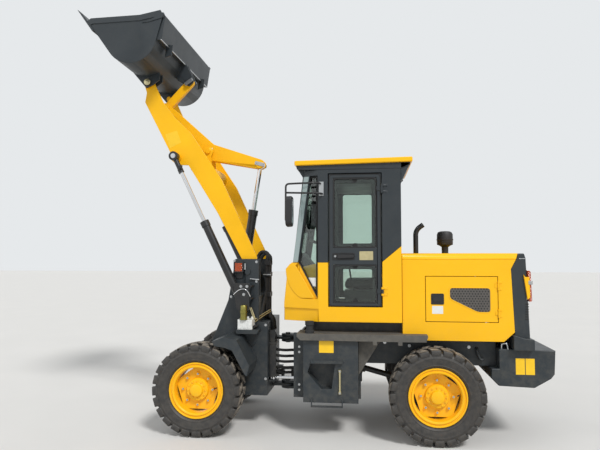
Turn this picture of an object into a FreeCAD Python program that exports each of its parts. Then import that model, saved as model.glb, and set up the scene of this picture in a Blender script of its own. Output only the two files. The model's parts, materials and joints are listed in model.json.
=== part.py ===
import FreeCAD, Part
import Sketcher
import math
import os
import re

# Wheel loader, millimetres, +Z up, front towards -X, left side towards -Y.
# The origin is on the ground, at the middle of the bounding box.

SIZES = [
    # alias, value, what it is
    ("front_axle_x", -1081, "front axle centre"),
    ("wheelbase", 2316, "front axle to rear axle"),
    ("tyre_radius", 450, "to the tips of the lugs"),
    ("tyre_width", 285, "section width"),
    ("lug_depth", 25, "tread lugs above the carcass"),
    ("lug_drop", 60, "tread lugs down the shoulder"),
    ("lug_share", 0.8, "part of the pitch that a lug fills at the shoulder"),
    ("track_outer", 790, "centre plane to the tyre's outer face"),
    ("rim_radius", 272, "rim flange"),
    ("rim_seat", 252, "rim barrel"),
    ("rim_wall", 12, "rim barrel and disc thickness"),
    ("slot_out", 216, "outer edge of the slots round the wheel disc"),
    ("slot_in", 197, "straight inner edge of those slots"),
    ("hub_radius", 110, "planetary hub"),
    ("disc_out", 20, "wheel disc's inner face outward of the tyre's middle"),
    ("wheel_play", 0.3, "between hub and wheel disc"),
    ("axle_radius", 85, "axle tube"),
    ("diff_radius", 160, "differential bulge"),
    ("hinge_x", -281, "frame hinge axis"),
    ("hinge_top_z", 875, "upper hinge lug of the front frame"),
    ("hinge_low_z", 375, "lower hinge lug of the front frame"),
    ("hinge_boss", 70, "hinge boss radius"),
    ("hinge_pin", 26, "hinge pin radius"),
    ("lug_thick", 26, "front frame hinge lug"),
    ("lug_gap", 4, "between hinge lugs"),
    ("fork_thick", 24, "rear frame hinge lugs"),
    ("rail_y", 400, "rear frame side plate, middle"),
    ("rail_thick", 20, "rear frame side plate"),
    ("rail_front_x", -146, "front end of the rear frame"),
    ("frame_overhang", 602, "rear axle to the rear end of the rear frame"),
    ("rail_top_z", 945, "top edge of the rear frame"),
    ("rail_low_z", 330, "bottom edge of the rear frame under the cab"),
    ("rail_arch_z", 690, "bottom edge of the rear frame over the axle"),
    ("cross_thick", 20, "cross plates of both frames"),
    ("tower_y", 375, "tower side plate, middle"),
    ("tower_thick", 20, "tower side plate"),
    ("tower_top_z", 1735, "tower top"),
    ("tower_rear_x", -440, "rear edge of the front frame under the cab"),
    ("tower_back_x", -535, "rear edge of the tower beside the cab"),
    ("tower_step_z", 1080, "height of the step between them"),
    ("inner_y", 288, "tower inner plate, middle"),
    ("inner_thick", 16, "tower inner plate"),
    ("frame_seat_z", 560, "underside of the front frame over the axle"),
    ("fender_wide", 394, "front fenders, from the tower out"),
    ("fender_skirt", 6, "sheet of the front fenders' outer flange"),
    ("boom_pivot_x", -651, "boom hinge"),
    ("boom_pivot_z", 1600, "boom hinge height"),
    ("boom_length", 2354, "boom hinge to bucket pin"),
    ("boom_raise", 61.3, "boom line above level, as parked"),
    ("arm_y", 330, "boom arm, middle"),
    ("arm_thick", 30, "boom arm plate"),
    ("pin_radius", 28, "boom and bucket pins"),
    ("boss_radius", 86, "boss of the boom pin"),
    ("bucket_boss", 55, "boss of the bucket pin"),
    ("pin_play", 0.5, "pin in its bore"),
    ("cyl_y", 440, "lift cylinder, middle"),
    ("lift_base_x", -671, "lift cylinder base pin"),
    ("lift_base_z", 1222, "lift cylinder base pin height"),
    ("eye_to_pin", 891, "lift rod eye to bucket pin, along the boom line"),
    ("lift_eye_drop", 110, "lift rod eye below the boom line"),
    ("lift_bore", 42, "lift cylinder barrel radius"),
    ("lift_rod", 21, "lift cylinder rod radius"),
    ("lift_barrel", 1010, "lift cylinder barrel length from its pin"),
    ("crank_to_pin", 920, "bellcrank pivot to bucket pin, along the boom line"),
    ("crank_rise", 182, "bellcrank pivot above the boom line"),
    ("crank_plate_y", 46, "bellcrank plate, middle"),
    ("crank_plate", 18, "bellcrank plate thickness"),
    ("crank_tail_dx", 585, "bellcrank pivot to tilt rod pin, along X"),
    ("crank_tail_dz", -151, "bellcrank pivot to tilt rod pin, along Z"),
    ("crank_nose_dx", -520, "bellcrank pivot to link pin, along X"),
    ("crank_nose_dz", 525, "bellcrank pivot to link pin, along Z"),
    ("tilt_base_x", -781, "tilt cylinder base pin"),
    ("tilt_base_z", 1600, "tilt cylinder base pin height"),
    ("tilt_bore", 48, "tilt cylinder barrel radius"),
    ("tilt_rod", 24, "tilt cylinder rod radius"),
    ("tilt_barrel", 690, "tilt cylinder barrel length from its pin"),
    ("bucket_roll", 54.6, "bucket floor above level, as parked"),
    ("bucket_half", 830, "half the bucket's width"),
    ("bucket_wall", 12, "bucket shell"),
    ("bucket_side", 16, "bucket side plate"),
    ("cutter_thick", 8, "side cutters on the outside of the side plates"),
    ("cutter_wide", 60, "side cutters"),
    ("floor_drop", 84, "bucket floor below its pin"),
    ("heel_radius", 270, "bucket heel, outside"),
    ("heel_x", -275, "heel centre from the pin, floor level"),
    ("blade_tip", 860, "blade edge ahead of the pin"),
    ("blade_root", 640, "blade rear edge ahead of the pin"),
    ("blade_thick", 20, "cutting blade"),
    ("side_lip", 700, "side plate's lower front corner ahead of the pin"),
    ("back_rise", 290, "straight part of the bucket's back"),
    ("back_slope", 51, "slope of the bucket's back with its floor level"),
    ("link_pin_x", 128, "link pin from the bucket pin, floor level"),
    ("link_pin_z", 345, "link pin above the bucket pin, floor level"),
    ("link_half", 24, "half the link's thickness"),
    ("steer_z", 490, "steering cylinders"),
    ("steer_base_x", 180, "steering cylinder base pin"),
    ("steer_base_y", 260, "steering cylinder base pin"),
    ("steer_eye_x", -400, "steering rod eye"),
    ("steer_eye_y", 240, "steering rod eye"),
    ("steer_bore", 32, "steering cylinder barrel radius"),
    ("steer_rod", 16, "steering cylinder rod radius"),
    ("steer_barrel", 345, "steering barrel length from its pin"),
    ("steer_slot", 22, "half the gap between the steering lugs"),
    ("cab_half", 600, "half the cab's width"),
    ("cab_wall", 45, "cab side wall and door thickness"),
    ("cab_floor_z", 1115, "cab floor"),
    ("cab_sill_z", 1700, "top of the lower panels"),
    ("cab_back_z", 1838, "top of the cab's rear panel"),
    ("nose_knee_z", 1290, "where the nose starts to lean back"),
    ("cowl_sheet", 30, "front of the cab's nose, along X"),
    ("quarter_low_z", 1341, "lowest point of the front side windows"),
    ("glass_back", 5, "gap of their panes to the post behind"),
    ("cowl_facet", 30, "how far the cab's nose leans in under those windows"),
    ("cowl_recess", 14, "how far the foot of the nose is set in"),
    ("cowl_recess_z", 1240, "top of that recess"),
    ("cab_frame_wide", 60, "front posts and top rails, from the side"),
    ("cab_top_z", 2630, "top of the side frames"),
    ("cab_rear_x", 926, "rear face of the cab"),
    ("cab_nose_x", -255, "front of the lower panels"),
    ("cab_corner_x", 110, "where the sides start to draw in towards the nose"),
    ("cab_nose_half", 470, "half the cab's width at its nose"),
    ("post_low_x", -160, "front post at the sill"),
    ("post_top_x", -40, "front post at the roof"),
    ("door_front_x", 206, "door opening, front"),
    ("door_rear_x", 739, "door opening, rear"),
    ("door_low_z", 1263, "door opening, bottom"),
    ("door_top_z", 2590, "door opening, top"),
    ("door_gap", 9, "door to its opening"),
    ("hinge_tall", 40, "middle knuckle of a door hinge"),
    ("side_door_gap", 6, "engine door to its opening"),
    ("glass", 6, "pane thickness"),
    ("wheel_z", 1872, "steering wheel"),
    ("cushion_z", 1400, "underside of the seat cushion"),
    ("roof_half", 625, "half the roof's width"),
    ("roof_front_x", -130, "roof front edge"),
    ("roof_rear_x", 1041, "roof rear edge"),
    ("roof_thick", 95, "roof at its front"),
    ("hood_half", 580, "half the hood's width"),
    ("hood_wall", 20, "hood panels and engine doors"),
    ("hood_low_z", 950, "hood side panels, bottom edge"),
    ("hood_top_z", 1792, "hood top"),
    ("hood_roll", 60, "depth of the hood top's turned-down edge"),
    ("hood_corner", 45, "slanted corner of the hood top"),
    ("hood_overhang", 118, "rear end of the frame to the hood's rear end at mid height"),
    ("grille_depth", 155, "depth of the grille housing"),
    ("side_door_front_x", 1149, "engine door opening, front"),
    ("door_to_hood_end", 120, "engine door opening to the hood's rear end"),
    ("side_door_low_z", 1127, "engine door opening, bottom"),
    ("side_door_top_z", 1571, "engine door opening, top"),
    ("weight_half", 550, "half the counterweight's width"),
    ("weight_overhang", 518, "rear end of the frame to the rear face of the counterweight"),
    ("deck_z", 1012, "top of the side platforms"),
    ("deck_half", 700, "outer edge of the platforms"),
    ("deck_lip", 66, "depth of the platforms' outer flange"),
    ("step_z", 716, "upper edge of the foot holes in the side tanks"),
    ("tank_front_x", -37, "front of the side tanks"),
    ("tank_to_axle", 736, "rear of the side tanks to the rear axle"),
    ("tank_low_z", 345, "bottom of the side tanks"),
    ("tank_out", 660, "outer face of the side tanks"),
    ("shaft_z", 500, "drive shaft at the frame hinge"),
    ("gearbox_out_z", 565, "rear output of the transmission"),
    ("gearbox_front_x", 150, "front of the transmission"),
    ("gearbox_rear_x", 480, "rear of the transmission"),
    ("shaft_radius", 30, "drive shafts"),
    ("mirror_y", 655, "mirror brackets"),
    ("exhaust_x", 1112, "exhaust pipe"),
    ("exhaust_radius", 27, "exhaust pipe"),
    ("cleaner_x", 1419, "air pre-cleaner"),
    ("cleaner_radius", 85, "air pre-cleaner bowl"),
]

DERIVED = {
    # word: the sum of sizes that it stands for
    "rail_rear_x": "front_axle_x + wheelbase + frame_overhang",
    "lift_eye_s": "boom_length - eye_to_pin",
    "crank_s": "boom_length - crank_to_pin",
    "hood_rear_x": "rail_rear_x + hood_overhang",
    "grille_rear_x": "hood_rear_x + grille_depth",
    "side_door_rear_x": "hood_rear_x - door_to_hood_end",
    "weight_rear_x": "rail_rear_x + weight_overhang",
    "tank_rear_x": "front_axle_x + wheelbase - tank_to_axle",
}

doc = FreeCAD.newDocument("wheel_loader")
sheet = doc.addObject("Spreadsheet::Sheet", "Dims")
for row, (alias, value, note) in enumerate(SIZES, 1):
    sheet.set("A%d" % row, note)
    sheet.set("B%d" % row, str(value))
    sheet.setAlias("B%d" % row, alias)
doc.recompute()
ALIASES = {alias for alias, value, note in SIZES}
NODES = []
Y_AXIS = FreeCAD.Vector(0, 1, 0)


def size(word):
    """A size in the sheet, or a sum of them."""
    if word in ALIASES:
        return float(sheet.get(word))
    parts = re.findall(r"(-?) ?([a-z_]+)", DERIVED[word])
    return sum(-size(part) if sign else size(part) for sign, part in parts)


def reference(found):
    """What a word of an expression stands for: a cell of the sheet, a sum of cells, or itself."""
    word = found.group()
    if word in DERIVED:
        return "(%s)" % dims(DERIVED[word])
    return "Dims." + word if word in ALIASES else word


def dims(text):
    """The expression with every size's word made a reference to the sheet."""
    return re.sub(r"[a-z_]+", reference, str(text))


def bind(thing, **expressions):
    for name, text in expressions.items():
        thing.setExpression(name.replace("__", "."), dims(text))


def place(thing, x="0", y="0", z="0", raised=None):
    if raised is not None:
        thing.Placement = FreeCAD.Placement(FreeCAD.Vector(), FreeCAD.Rotation(Y_AXIS, 10))
        bind(thing, Placement__Rotation__Angle=raised)
    bind(thing, Placement__Base__x=x, Placement__Base__y=y, Placement__Base__z=z)
    return thing


def box(name, low, high):
    """A block between two corners."""
    thing = doc.addObject("Part::Box", name)
    bind(thing, Length="(%s) - (%s)" % (high[0], low[0]), Width="(%s) - (%s)" % (high[1], low[1]),
         Height="(%s) - (%s)" % (high[2], low[2]))
    return place(thing, *low)


def rod(name, radius, length, start, along="z"):
    """A cylinder from its start point along +x, +y or +z."""
    turn = {"x": FreeCAD.Rotation(Y_AXIS, 90), "y": FreeCAD.Rotation(FreeCAD.Vector(1, 0, 0), -90),
            "z": FreeCAD.Rotation()}
    thing = doc.addObject("Part::Cylinder", name)
    bind(thing, Radius=radius, Height=length)
    thing.Placement = FreeCAD.Placement(FreeCAD.Vector(), turn[along])
    return place(thing, *start)


def plate(name, outline, thick, middle):
    """A flat plate of a PartDesign body: its outline in XZ, padded each side of y = middle."""
    body = doc.addObject("PartDesign::Body", name)
    plane = [f for f in body.Origin.OriginFeatures if f.Role == "XZ_Plane"][0]
    sketch = body.newObject("Sketcher::SketchObject", name + "_outline")
    sketch.AttachmentSupport = [(plane, "")]
    sketch.MapMode = "FlatFace"
    count = len(outline)
    corners = [FreeCAD.Vector(math.cos(math.tau * i / count), math.sin(math.tau * i / count), 0) * 100
               for i in range(count)]
    for i in range(count):
        sketch.addGeometry(Part.LineSegment(corners[i], corners[(i + 1) % count]), False)
    for i in range(count):
        sketch.addConstraint(Sketcher.Constraint("Coincident", i, 2, (i + 1) % count, 1))
    for i, (x, z) in enumerate(outline):
        for kind, text, start in (("DistanceX", x, corners[i].x), ("DistanceY", z, corners[i].y)):
            index = sketch.addConstraint(Sketcher.Constraint(kind, -1, 1, i, 1, start + 0.5))
            sketch.setExpression("Constraints[%d]" % index, dims(text))
    pad = body.newObject("PartDesign::Pad", name + "_pad")
    pad.Profile = sketch
    pad.SideType = "Symmetric"
    bind(pad, Length=thick)
    return place(body, "0", middle, "0")


def fuse(name, things):
    thing = doc.addObject("Part::MultiFuse", name)
    thing.Shapes = things
    return thing


def cut(name, base, tools):
    thing = doc.addObject("Part::Cut", name)
    thing.Base = base
    thing.Tool = tools[0] if len(tools) == 1 else fuse(name + "_tools", tools)
    return thing


def mirror(name, source):
    thing = doc.addObject("Part::Mirroring", name)
    thing.Source = source
    thing.Normal = Y_AXIS
    return thing


def both(name, source):
    """The source and its mirror image in the other half."""
    return [source, mirror(name + "_mirror", source)]


def node(label, thing):
    thing.Label = label
    NODES.append(thing)
    return thing


def joined(label, things, cuts=(), **where):
    """A node of fused pieces with its cuts, placed as a whole."""
    whole = fuse(label + "_whole", things) if len(things) > 1 else things[0]
    if cuts:
        whole = cut(label + "_cut", whole, list(cuts))
    if where:
        place(whole, **where)
    return node(label, whole)


def solid(label, shape, base=None, turn=None):
    """A node whose shape comes from Part's own functions."""
    thing = doc.addObject("Part::Feature", label)
    thing.Shape = shape
    if base is not None:
        thing.Placement = FreeCAD.Placement(base, turn or FreeCAD.Rotation())
    return node(label, thing)


# Wheels: tyre, and rim with its disc and hub cap, turned about the axle

LUGS = 24
TYRE_FACETS = 30
WHEEL_SLOTS = 5


def ring_profile(points):
    wire = Part.makePolygon([FreeCAD.Vector(r, y, 0) for r, y in points + points[:1]])
    return Part.Face(wire).revolve(FreeCAD.Vector(), Y_AXIS, 360)


def faceted(points):
    """A ring round the Y axis in flat faces, from its (radius, along) outline."""
    def corner(row, step):
        angle = math.tau * step / TYRE_FACETS
        return FreeCAD.Vector(row[0] * math.cos(angle), row[1], row[0] * math.sin(angle))

    faces = []
    for a, b in zip(points, points[1:] + points[:1]):
        for step in range(TYRE_FACETS):
            quad = [corner(a, step), corner(b, step), corner(b, step + 1), corner(a, step + 1)]
            faces.append(Part.Face(Part.makePolygon(quad + quad[:1])))
    ring = Part.Solid(Part.Shell(faces))
    if ring.Volume < 0:
        ring.reverse()
    return ring


def lug(angle, sign, half, outer):
    """One block of the tread, wide at the shoulder and narrow near the middle, at an angle round Y."""
    reach = math.pi * outer / LUGS * size("lug_share")
    top = math.sqrt(outer ** 2 - reach ** 2)
    footprint = [(-reach, half), (reach, half), (reach, half * 0.12), (reach * 0.25, half * 0.12)]
    corners = [FreeCAD.Vector(outer - size("lug_drop") - 10, sign * y, t) for t, y in footprint]
    face = Part.Face(Part.makePolygon(corners + corners[:1]))
    block = face.extrude(FreeCAD.Vector(top - outer + size("lug_drop") + 10, 0, 0))
    block.rotate(FreeCAD.Vector(), Y_AXIS, -math.degrees(angle))
    return block


def tyre_shape():
    """Carcass and lugs about the wheel's middle; an edge of one lug stands straight down."""
    half = size("tyre_width") / 2
    outer = size("tyre_radius")
    flange = size("rim_radius")
    lip = half - 30
    touch = size("rim_seat") / math.cos(math.pi / TYRE_FACETS)
    wall = [(touch, lip), (flange + 2, lip), (flange + 70, half),
            (outer - size("lug_drop"), half), (outer - size("lug_depth"), half - 22)]
    ring = faceted([(r, -y) for r, y in wall] + wall[::-1])
    pitch = math.tau / LUGS
    reach = math.asin(math.pi / LUGS * size("lug_share"))
    lugs = []
    for sign, start in ((-1, -math.pi / 2 - reach), (1, -math.pi / 2 - reach + pitch / 2)):
        for step in range(LUGS):
            lugs.append(lug(start + pitch * step, sign, half, outer))
    return ring.fuse(lugs).removeSplitter()


TYRE = tyre_shape()


def wheel(end, x, side, sign):
    """Tyre and rim about a point of the axle; the rim's outline is (radius, outward)."""
    half = size("tyre_width") / 2
    seat = size("rim_seat")
    barrel = seat - size("rim_wall")
    flange = size("rim_radius")
    hub = size("hub_radius")
    lip = half - 30
    edge = lip + 12
    disc = size("disc_out")
    outline = [(0.0, disc), (hub + 40, disc), (barrel, 8), (barrel, -edge), (flange, -edge), (flange, -lip),
               (seat, -lip), (seat, lip), (flange, lip), (flange, edge), (barrel, edge), (barrel, 24),
               (hub + 40, 46), (hub, 78), (60, 84), (60, 118), (0.0, 118)]
    rim = ring_profile([(r, sign * y) for r, y in outline])
    slots = []
    for step in range(WHEEL_SLOTS):
        round_end = Part.makeCylinder(size("slot_out"), 200, FreeCAD.Vector(0, -100, 0), Y_AXIS)
        beyond = Part.makeBox(100, 200, 200, FreeCAD.Vector(size("slot_in"), -100, -100))
        beyond.rotate(FreeCAD.Vector(), Y_AXIS, 360 / WHEEL_SLOTS * step + 54)
        slots.append(round_end.common(beyond))
    base = FreeCAD.Vector(x, sign * (size("track_outer") - half), size("tyre_radius"))
    tyre = TYRE if sign > 0 else TYRE.mirror(FreeCAD.Vector(), Y_AXIS)
    solid("tyre_%s_%s" % (end, side), tyre, base)
    solid("rim_%s_%s" % (end, side), rim.cut(slots), base)


def axle(label, x, pads):
    """An axle tube with its differential, hub ends and mounting pads, centred on x."""
    reach = "track_outer - tyre_width / 2 + disc_out - wheel_play"
    low_y = "-(%s)" % reach
    pieces = [rod(label + "_tube", "axle_radius", "2 * (%s)" % reach, (x, low_y, "tyre_radius"), "y"),
              rod(label + "_hub_left", "hub_radius", "90", (x, low_y, "tyre_radius"), "y"),
              rod(label + "_hub_right", "hub_radius", "90", (x, "(%s) - 90" % reach, "tyre_radius"), "y"),
              rod(label + "_diff", "diff_radius", "170", (x, "-85", "tyre_radius"), "y")]
    return joined(label, pieces + pads)


def front_axle():
    pads = [box("front_pad_left", ("front_axle_x - 90", "-440", "tyre_radius + 20"),
                ("front_axle_x + 90", "-330", "frame_seat_z")),
            box("front_pad_right", ("front_axle_x - 90", "330", "tyre_radius + 20"),
                ("front_axle_x + 90", "440", "frame_seat_z")),
            rod("front_pinion", "70", "210", ("front_axle_x", "0", "tyre_radius"), "x")]
    axle("front_axle", "front_axle_x", pads)


def rear_axle():
    x = "front_axle_x + wheelbase"
    pads = [box("rear_pivot_block", (x + " - 110", "-120", "tyre_radius + 40"),
                (x + " + 110", "120", "rail_arch_z - 24")),
            rod("rear_pinion", "70", "240", (x + " - 240", "0", "tyre_radius"), "x")]
    axle("rear_axle", x, pads)


# Front half: the tower of twin plates that carries the boom

def front_frame():
    tower = [("tower_back_x", "tower_top_z"), ("boom_pivot_x - 136", "tower_top_z"),
             ("boom_pivot_x - 208", "1306"), ("front_axle_x + 12", "784"), ("front_axle_x - 130", "620"),
             ("front_axle_x - 130", "frame_seat_z"), ("front_axle_x + 150", "frame_seat_z"),
             ("front_axle_x + 230", "rail_low_z"), ("tower_rear_x", "rail_low_z"),
             ("tower_rear_x", "tower_step_z"), ("tower_back_x", "tower_step_z")]
    inner = [("tower_back_x", "tower_top_z"), ("boom_pivot_x - 136", "tower_top_z"),
             ("boom_pivot_x - 170", "1330"), ("tower_back_x", "1330")]
    side = plate("tower_plate", tower, "tower_thick", "-tower_y")
    twin = plate("tower_inner", inner, "inner_thick", "-inner_y")
    span = "tower_y + 2"
    low_y = "-(%s)" % span
    walls = []
    for word, low, high in (("bridge", ("boom_pivot_x - 165", "1330"), ("tower_back_x", "1350")),
                            ("wall_upper", ("tower_back_x - 20", "tower_step_z - 20"), ("tower_back_x", "1340")),
                            ("wall_lower", ("tower_rear_x - 20", "rail_low_z"), ("tower_rear_x", "tower_step_z")),
                            ("step", ("tower_back_x - 20", "tower_step_z - 20"), ("tower_rear_x", "tower_step_z")),
                            ("seat", ("front_axle_x - 130", "frame_seat_z"),
                             ("front_axle_x + 150", "frame_seat_z + 20"))):
        walls.append(box("tower_" + word, (low[0], low_y, low[1]), (high[0], span, high[1])))
    walls.append(plate("tower_front_wall", [("boom_pivot_x - 200", "1300"), ("boom_pivot_x - 180", "1300"),
                                            ("front_axle_x + 32", "784"), ("front_axle_x + 12", "784")],
                       "2 * (%s)" % span, "0"))
    lugs = []
    bores = []
    for word, z in (("top", "hinge_top_z"), ("low", "hinge_low_z")):
        base = "%s - lug_thick / 2" % z
        lugs.append(box("front_lug_" + word, ("tower_rear_x - 5", "-hinge_boss", base),
                        ("hinge_x", "hinge_boss", base + " + lug_thick")))
        lugs.append(rod("front_lug_boss_" + word, "hinge_boss", "lug_thick", ("hinge_x", "0", base)))
        bores.append(rod("hinge_bore_" + word, "hinge_pin + pin_play", "lug_thick + 20",
                         ("hinge_x", "0", base + " - 10")))
    horns = []
    for word, low, high in (("left", "-80", "-62"), ("right", "62", "80")):
        horns.append(box("tilt_horn_" + word, ("tilt_base_x - 60", low, "1340"),
                         ("tilt_base_x + 90", high, "tilt_base_z")))
        horns.append(rod("tilt_horn_boss_" + word, "60", "18", ("tilt_base_x", low, "tilt_base_z"), "y"))
    bores.append(box("diff_window", ("front_axle_x - 180", "-100", "frame_seat_z - 10"),
                     ("front_axle_x + 180", "100", "frame_seat_z + 40")))
    bores.append(rod("shaft_window", "90", "200", ("tower_rear_x - 100", "0", "shaft_z - 10"), "x"))
    for word, near, far in (("left", "-steer_eye_y - 64", "-steer_eye_y + 36"),
                            ("right", "steer_eye_y - 36", "steer_eye_y + 64")):
        bores.append(box("steer_window_" + word, ("tower_rear_x - 30", near, "steer_z - steer_slot"),
                         ("tower_rear_x + 10", far, "steer_z + steer_slot")))
    plates = walls + both("tower_plate", side) + both("tower_inner", twin) + lugs + horns
    base = cut("front_frame_plates", fuse("front_frame_whole", plates), bores)
    pins = [rod("tilt_base_pin", "pin_radius", "180", ("tilt_base_x", "-90", "tilt_base_z"), "y")]
    for word, low in (("left", "-cyl_y - 50"), ("right", "tower_y")):
        pins.append(rod("lift_base_pin_" + word, "pin_radius", "cyl_y + 50 - tower_y",
                        ("lift_base_x", low, "lift_base_z"), "y"))
    for word, low in (("left", "-tower_y - 30"), ("right", "inner_y - 20")):
        pins.append(rod("boom_pin_" + word, "pin_radius", "tower_y - inner_y + 50",
                        ("boom_pivot_x", low, "boom_pivot_z"), "y"))
    brackets = []
    for word, z in (("top", "steer_z + steer_slot"), ("low", "steer_z - steer_slot - 14")):
        for name, mid in (("left", "-steer_eye_y"), ("right", "steer_eye_y")):
            brackets.append(box("steer_lug_%s_%s" % (word, name), ("tower_rear_x - 2", mid + " - 36", z),
                                ("steer_eye_x + 28", mid + " + 36", z + " + 14")))
    node("front_frame", fuse("front_frame_all", [base] + pins + brackets))


def rear_frame():
    rail = [("rail_front_x", "rail_low_z"), ("tank_rear_x + 21", "rail_low_z"),
            ("tank_rear_x + 21", "rail_arch_z - 60"), ("tank_rear_x + 61", "rail_arch_z"),
            ("rail_rear_x", "rail_arch_z"), ("rail_rear_x", "rail_top_z"), ("rail_front_x", "rail_top_z")]
    side = plate("rail_plate", rail, "rail_thick", "-rail_y")
    span = "rail_y + 2"
    low_y = "-(%s)" % span
    axle_x = "front_axle_x + wheelbase"
    rows = (("front_top", "rail_front_x", "20", "780", "rail_top_z"),
            ("front_low", "rail_front_x", "20", "rail_low_z", "430"),
            ("middle", "tank_rear_x", "20", "740", "rail_top_z"),
            ("rear", "rail_rear_x - 20", "20", "rail_arch_z", "rail_top_z"),
            ("axle", axle_x + " - 120", "240", "rail_arch_z - 24", "rail_arch_z"),
            ("engine_front", "side_door_front_x + 51", "60", "820", "850"),
            ("engine_rear", "rail_rear_x - 187", "60", "820", "850"))
    crosses = []
    for word, x, long, low, high in rows:
        crosses.append(box("rail_cross_" + word, (x, low_y, low), ("%s + %s" % (x, long), span, high)))
    lugs = []
    reach = "lug_thick / 2 + lug_gap"
    for word, z in (("top", "hinge_top_z"), ("low", "hinge_low_z")):
        for part, low in (("upper", "%s + %s" % (z, reach)), ("lower", "%s - (%s) - fork_thick" % (z, reach))):
            lugs.append(box("fork_%s_%s" % (word, part), ("hinge_x", "-hinge_boss", low),
                            ("rail_front_x + 5", "hinge_boss", low + " + fork_thick")))
            lugs.append(rod("fork_boss_%s_%s" % (word, part), "hinge_boss", "fork_thick", ("hinge_x", "0", low)))
        half = "(%s + fork_thick + 12)" % reach
        lugs.append(rod("hinge_pin_" + word, "hinge_pin", "2 * " + half, ("hinge_x", "0", "%s - %s" % (z, half))))
    seats = []
    for word, mid, near, far in (("left", "-steer_base_y", low_y, "-steer_base_y + 45"),
                                 ("right", "steer_base_y", "steer_base_y - 45", span)):
        seats.append(box("steer_seat_" + word, ("steer_base_x - 40", near, "steer_z - 66"),
                         ("steer_base_x + 50", far, "steer_z - 40")))
        seats.append(rod("steer_base_pin_" + word, "16", "110", ("steer_base_x", mid, "steer_z - 60")))
    for word, near, far in (("left", low_y, "-180"), ("right", "180", span)):
        seats.append(box("gearbox_seat_" + word, ("gearbox_front_x + 60", near, "600"),
                         ("gearbox_rear_x - 60", far, "630")))
    for word, mid in (("left", "-rail_y + 35"), ("right", "rail_y - 35")):
        for end, x in (("front", "30"), ("rear", "860")):
            seats.append(rod("cab_mount_%s_%s" % (end, word), "40", "cab_floor_z - rail_top_z",
                             (x, mid, "rail_top_z")))
    joined("rear_frame", both("rail_plate", side) + crosses + lugs + seats)


front_frame()
rear_frame()
front_axle()
rear_axle()
front_x = size("front_axle_x")
rear_x = front_x + size("wheelbase")
for end, x in (("front", front_x), ("rear", rear_x)):
    for side, sign in (("left", -1), ("right", 1)):
        wheel(end, x, side, sign)

# Boom, drawn level and pointing forward from its hinge, then raised

def arm_outline():
    """Along the boom (minus X) and above its line (Z), both from the hinge."""
    return [("95", "-30"), ("60", "-85"), ("-40", "-92"), ("-150", "-2"), ("-700", "0"),
            ("-boom_length + 1024", "-38"), ("-boom_length + 954", "-150"), ("-boom_length + 884", "-178"),
            ("-boom_length + 794", "-150"), ("-boom_length + 164", "-138"), ("-boom_length + 80", "-72"),
            ("-boom_length", "-bucket_boss"), ("-boom_length - bucket_boss * 0.7", "-bucket_boss * 0.7"),
            ("-boom_length - bucket_boss", "0"), ("-boom_length - bucket_boss * 0.7", "bucket_boss * 0.7"),
            ("-boom_length", "bucket_boss"), ("-boom_length + 263", "38"), ("-boom_length + 478", "73"),
            ("-boom_length + 735", "151"), ("-1000", "206"), ("-590", "178"), ("-100", "150"), ("40", "90"),
            ("90", "40")]


def boom():
    arm = plate("boom_arm", arm_outline(), "arm_thick", "-arm_y")
    face = "-arm_y - arm_thick / 2 - 7"
    bosses = [rod("boom_boss", "boss_radius", "arm_thick + 14", ("0", face, "0"), "y"),
              rod("bucket_boss", "bucket_boss", "arm_thick + 14", ("-boom_length", face, "0"), "y"),
              rod("lift_boss", "50", "cyl_y - arm_y - 60", ("-lift_eye_s", "-cyl_y + 46", "-lift_eye_drop"), "y")]
    holes = [rod("boom_bore", "pin_radius + pin_play", "90", ("0", "-arm_y - 45", "0"), "y")]
    left = cut("boom_left", fuse("boom_left_whole", [arm] + bosses), holes)
    tube = rod("boom_cross_tube", "80", "2 * arm_y", ("-crank_s + 254", "-arm_y", "85"), "y")
    horn = [("-crank_s + 344", "60"), ("-crank_s + 154", "60"), ("-crank_s - 60", "crank_rise - 30"),
            ("-crank_s - 30", "crank_rise + 52"), ("-crank_s + 30", "crank_rise + 52"),
            ("-crank_s + 70", "crank_rise")]
    ear = plate("crank_ear", horn, "16", "-84")
    pin = rod("crank_pin", "pin_radius", "220", ("-crank_s", "-110", "crank_rise"), "y")
    tip_pin = rod("bucket_pin", "pin_radius", "130", ("-boom_length", "-arm_y - 65", "0"), "y")
    pieces = both("boom_left", left) + [tube, pin] + both("crank_ear", ear) + both("bucket_pin", tip_pin)
    joined("boom", pieces, x="boom_pivot_x", y="0", z="boom_pivot_z", raised="boom_raise")


boom()
RAISE = math.radians(size("boom_raise"))


def on_boom(along, above):
    """A point of the boom's own frame, in the machine's."""
    x = size("boom_pivot_x") - along * math.cos(RAISE) + above * math.sin(RAISE)
    z = size("boom_pivot_z") + along * math.sin(RAISE) + above * math.cos(RAISE)
    return x, z


BUCKET_PIN = on_boom(size("boom_length"), 0)
CRANK = on_boom(size("crank_s"), size("crank_rise"))
TAIL = (CRANK[0] + size("crank_tail_dx"), CRANK[1] + size("crank_tail_dz"))
NOSE = (CRANK[0] + size("crank_nose_dx"), CRANK[1] + size("crank_nose_dz"))
ROLL = math.radians(size("bucket_roll"))
LINK_PIN = (BUCKET_PIN[0] + size("link_pin_x") * math.cos(ROLL) + size("link_pin_z") * math.sin(ROLL),
            BUCKET_PIN[1] - size("link_pin_x") * math.sin(ROLL) + size("link_pin_z") * math.cos(ROLL))
LIFT_EYE = on_boom(size("lift_eye_s"), -size("lift_eye_drop"))


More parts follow.
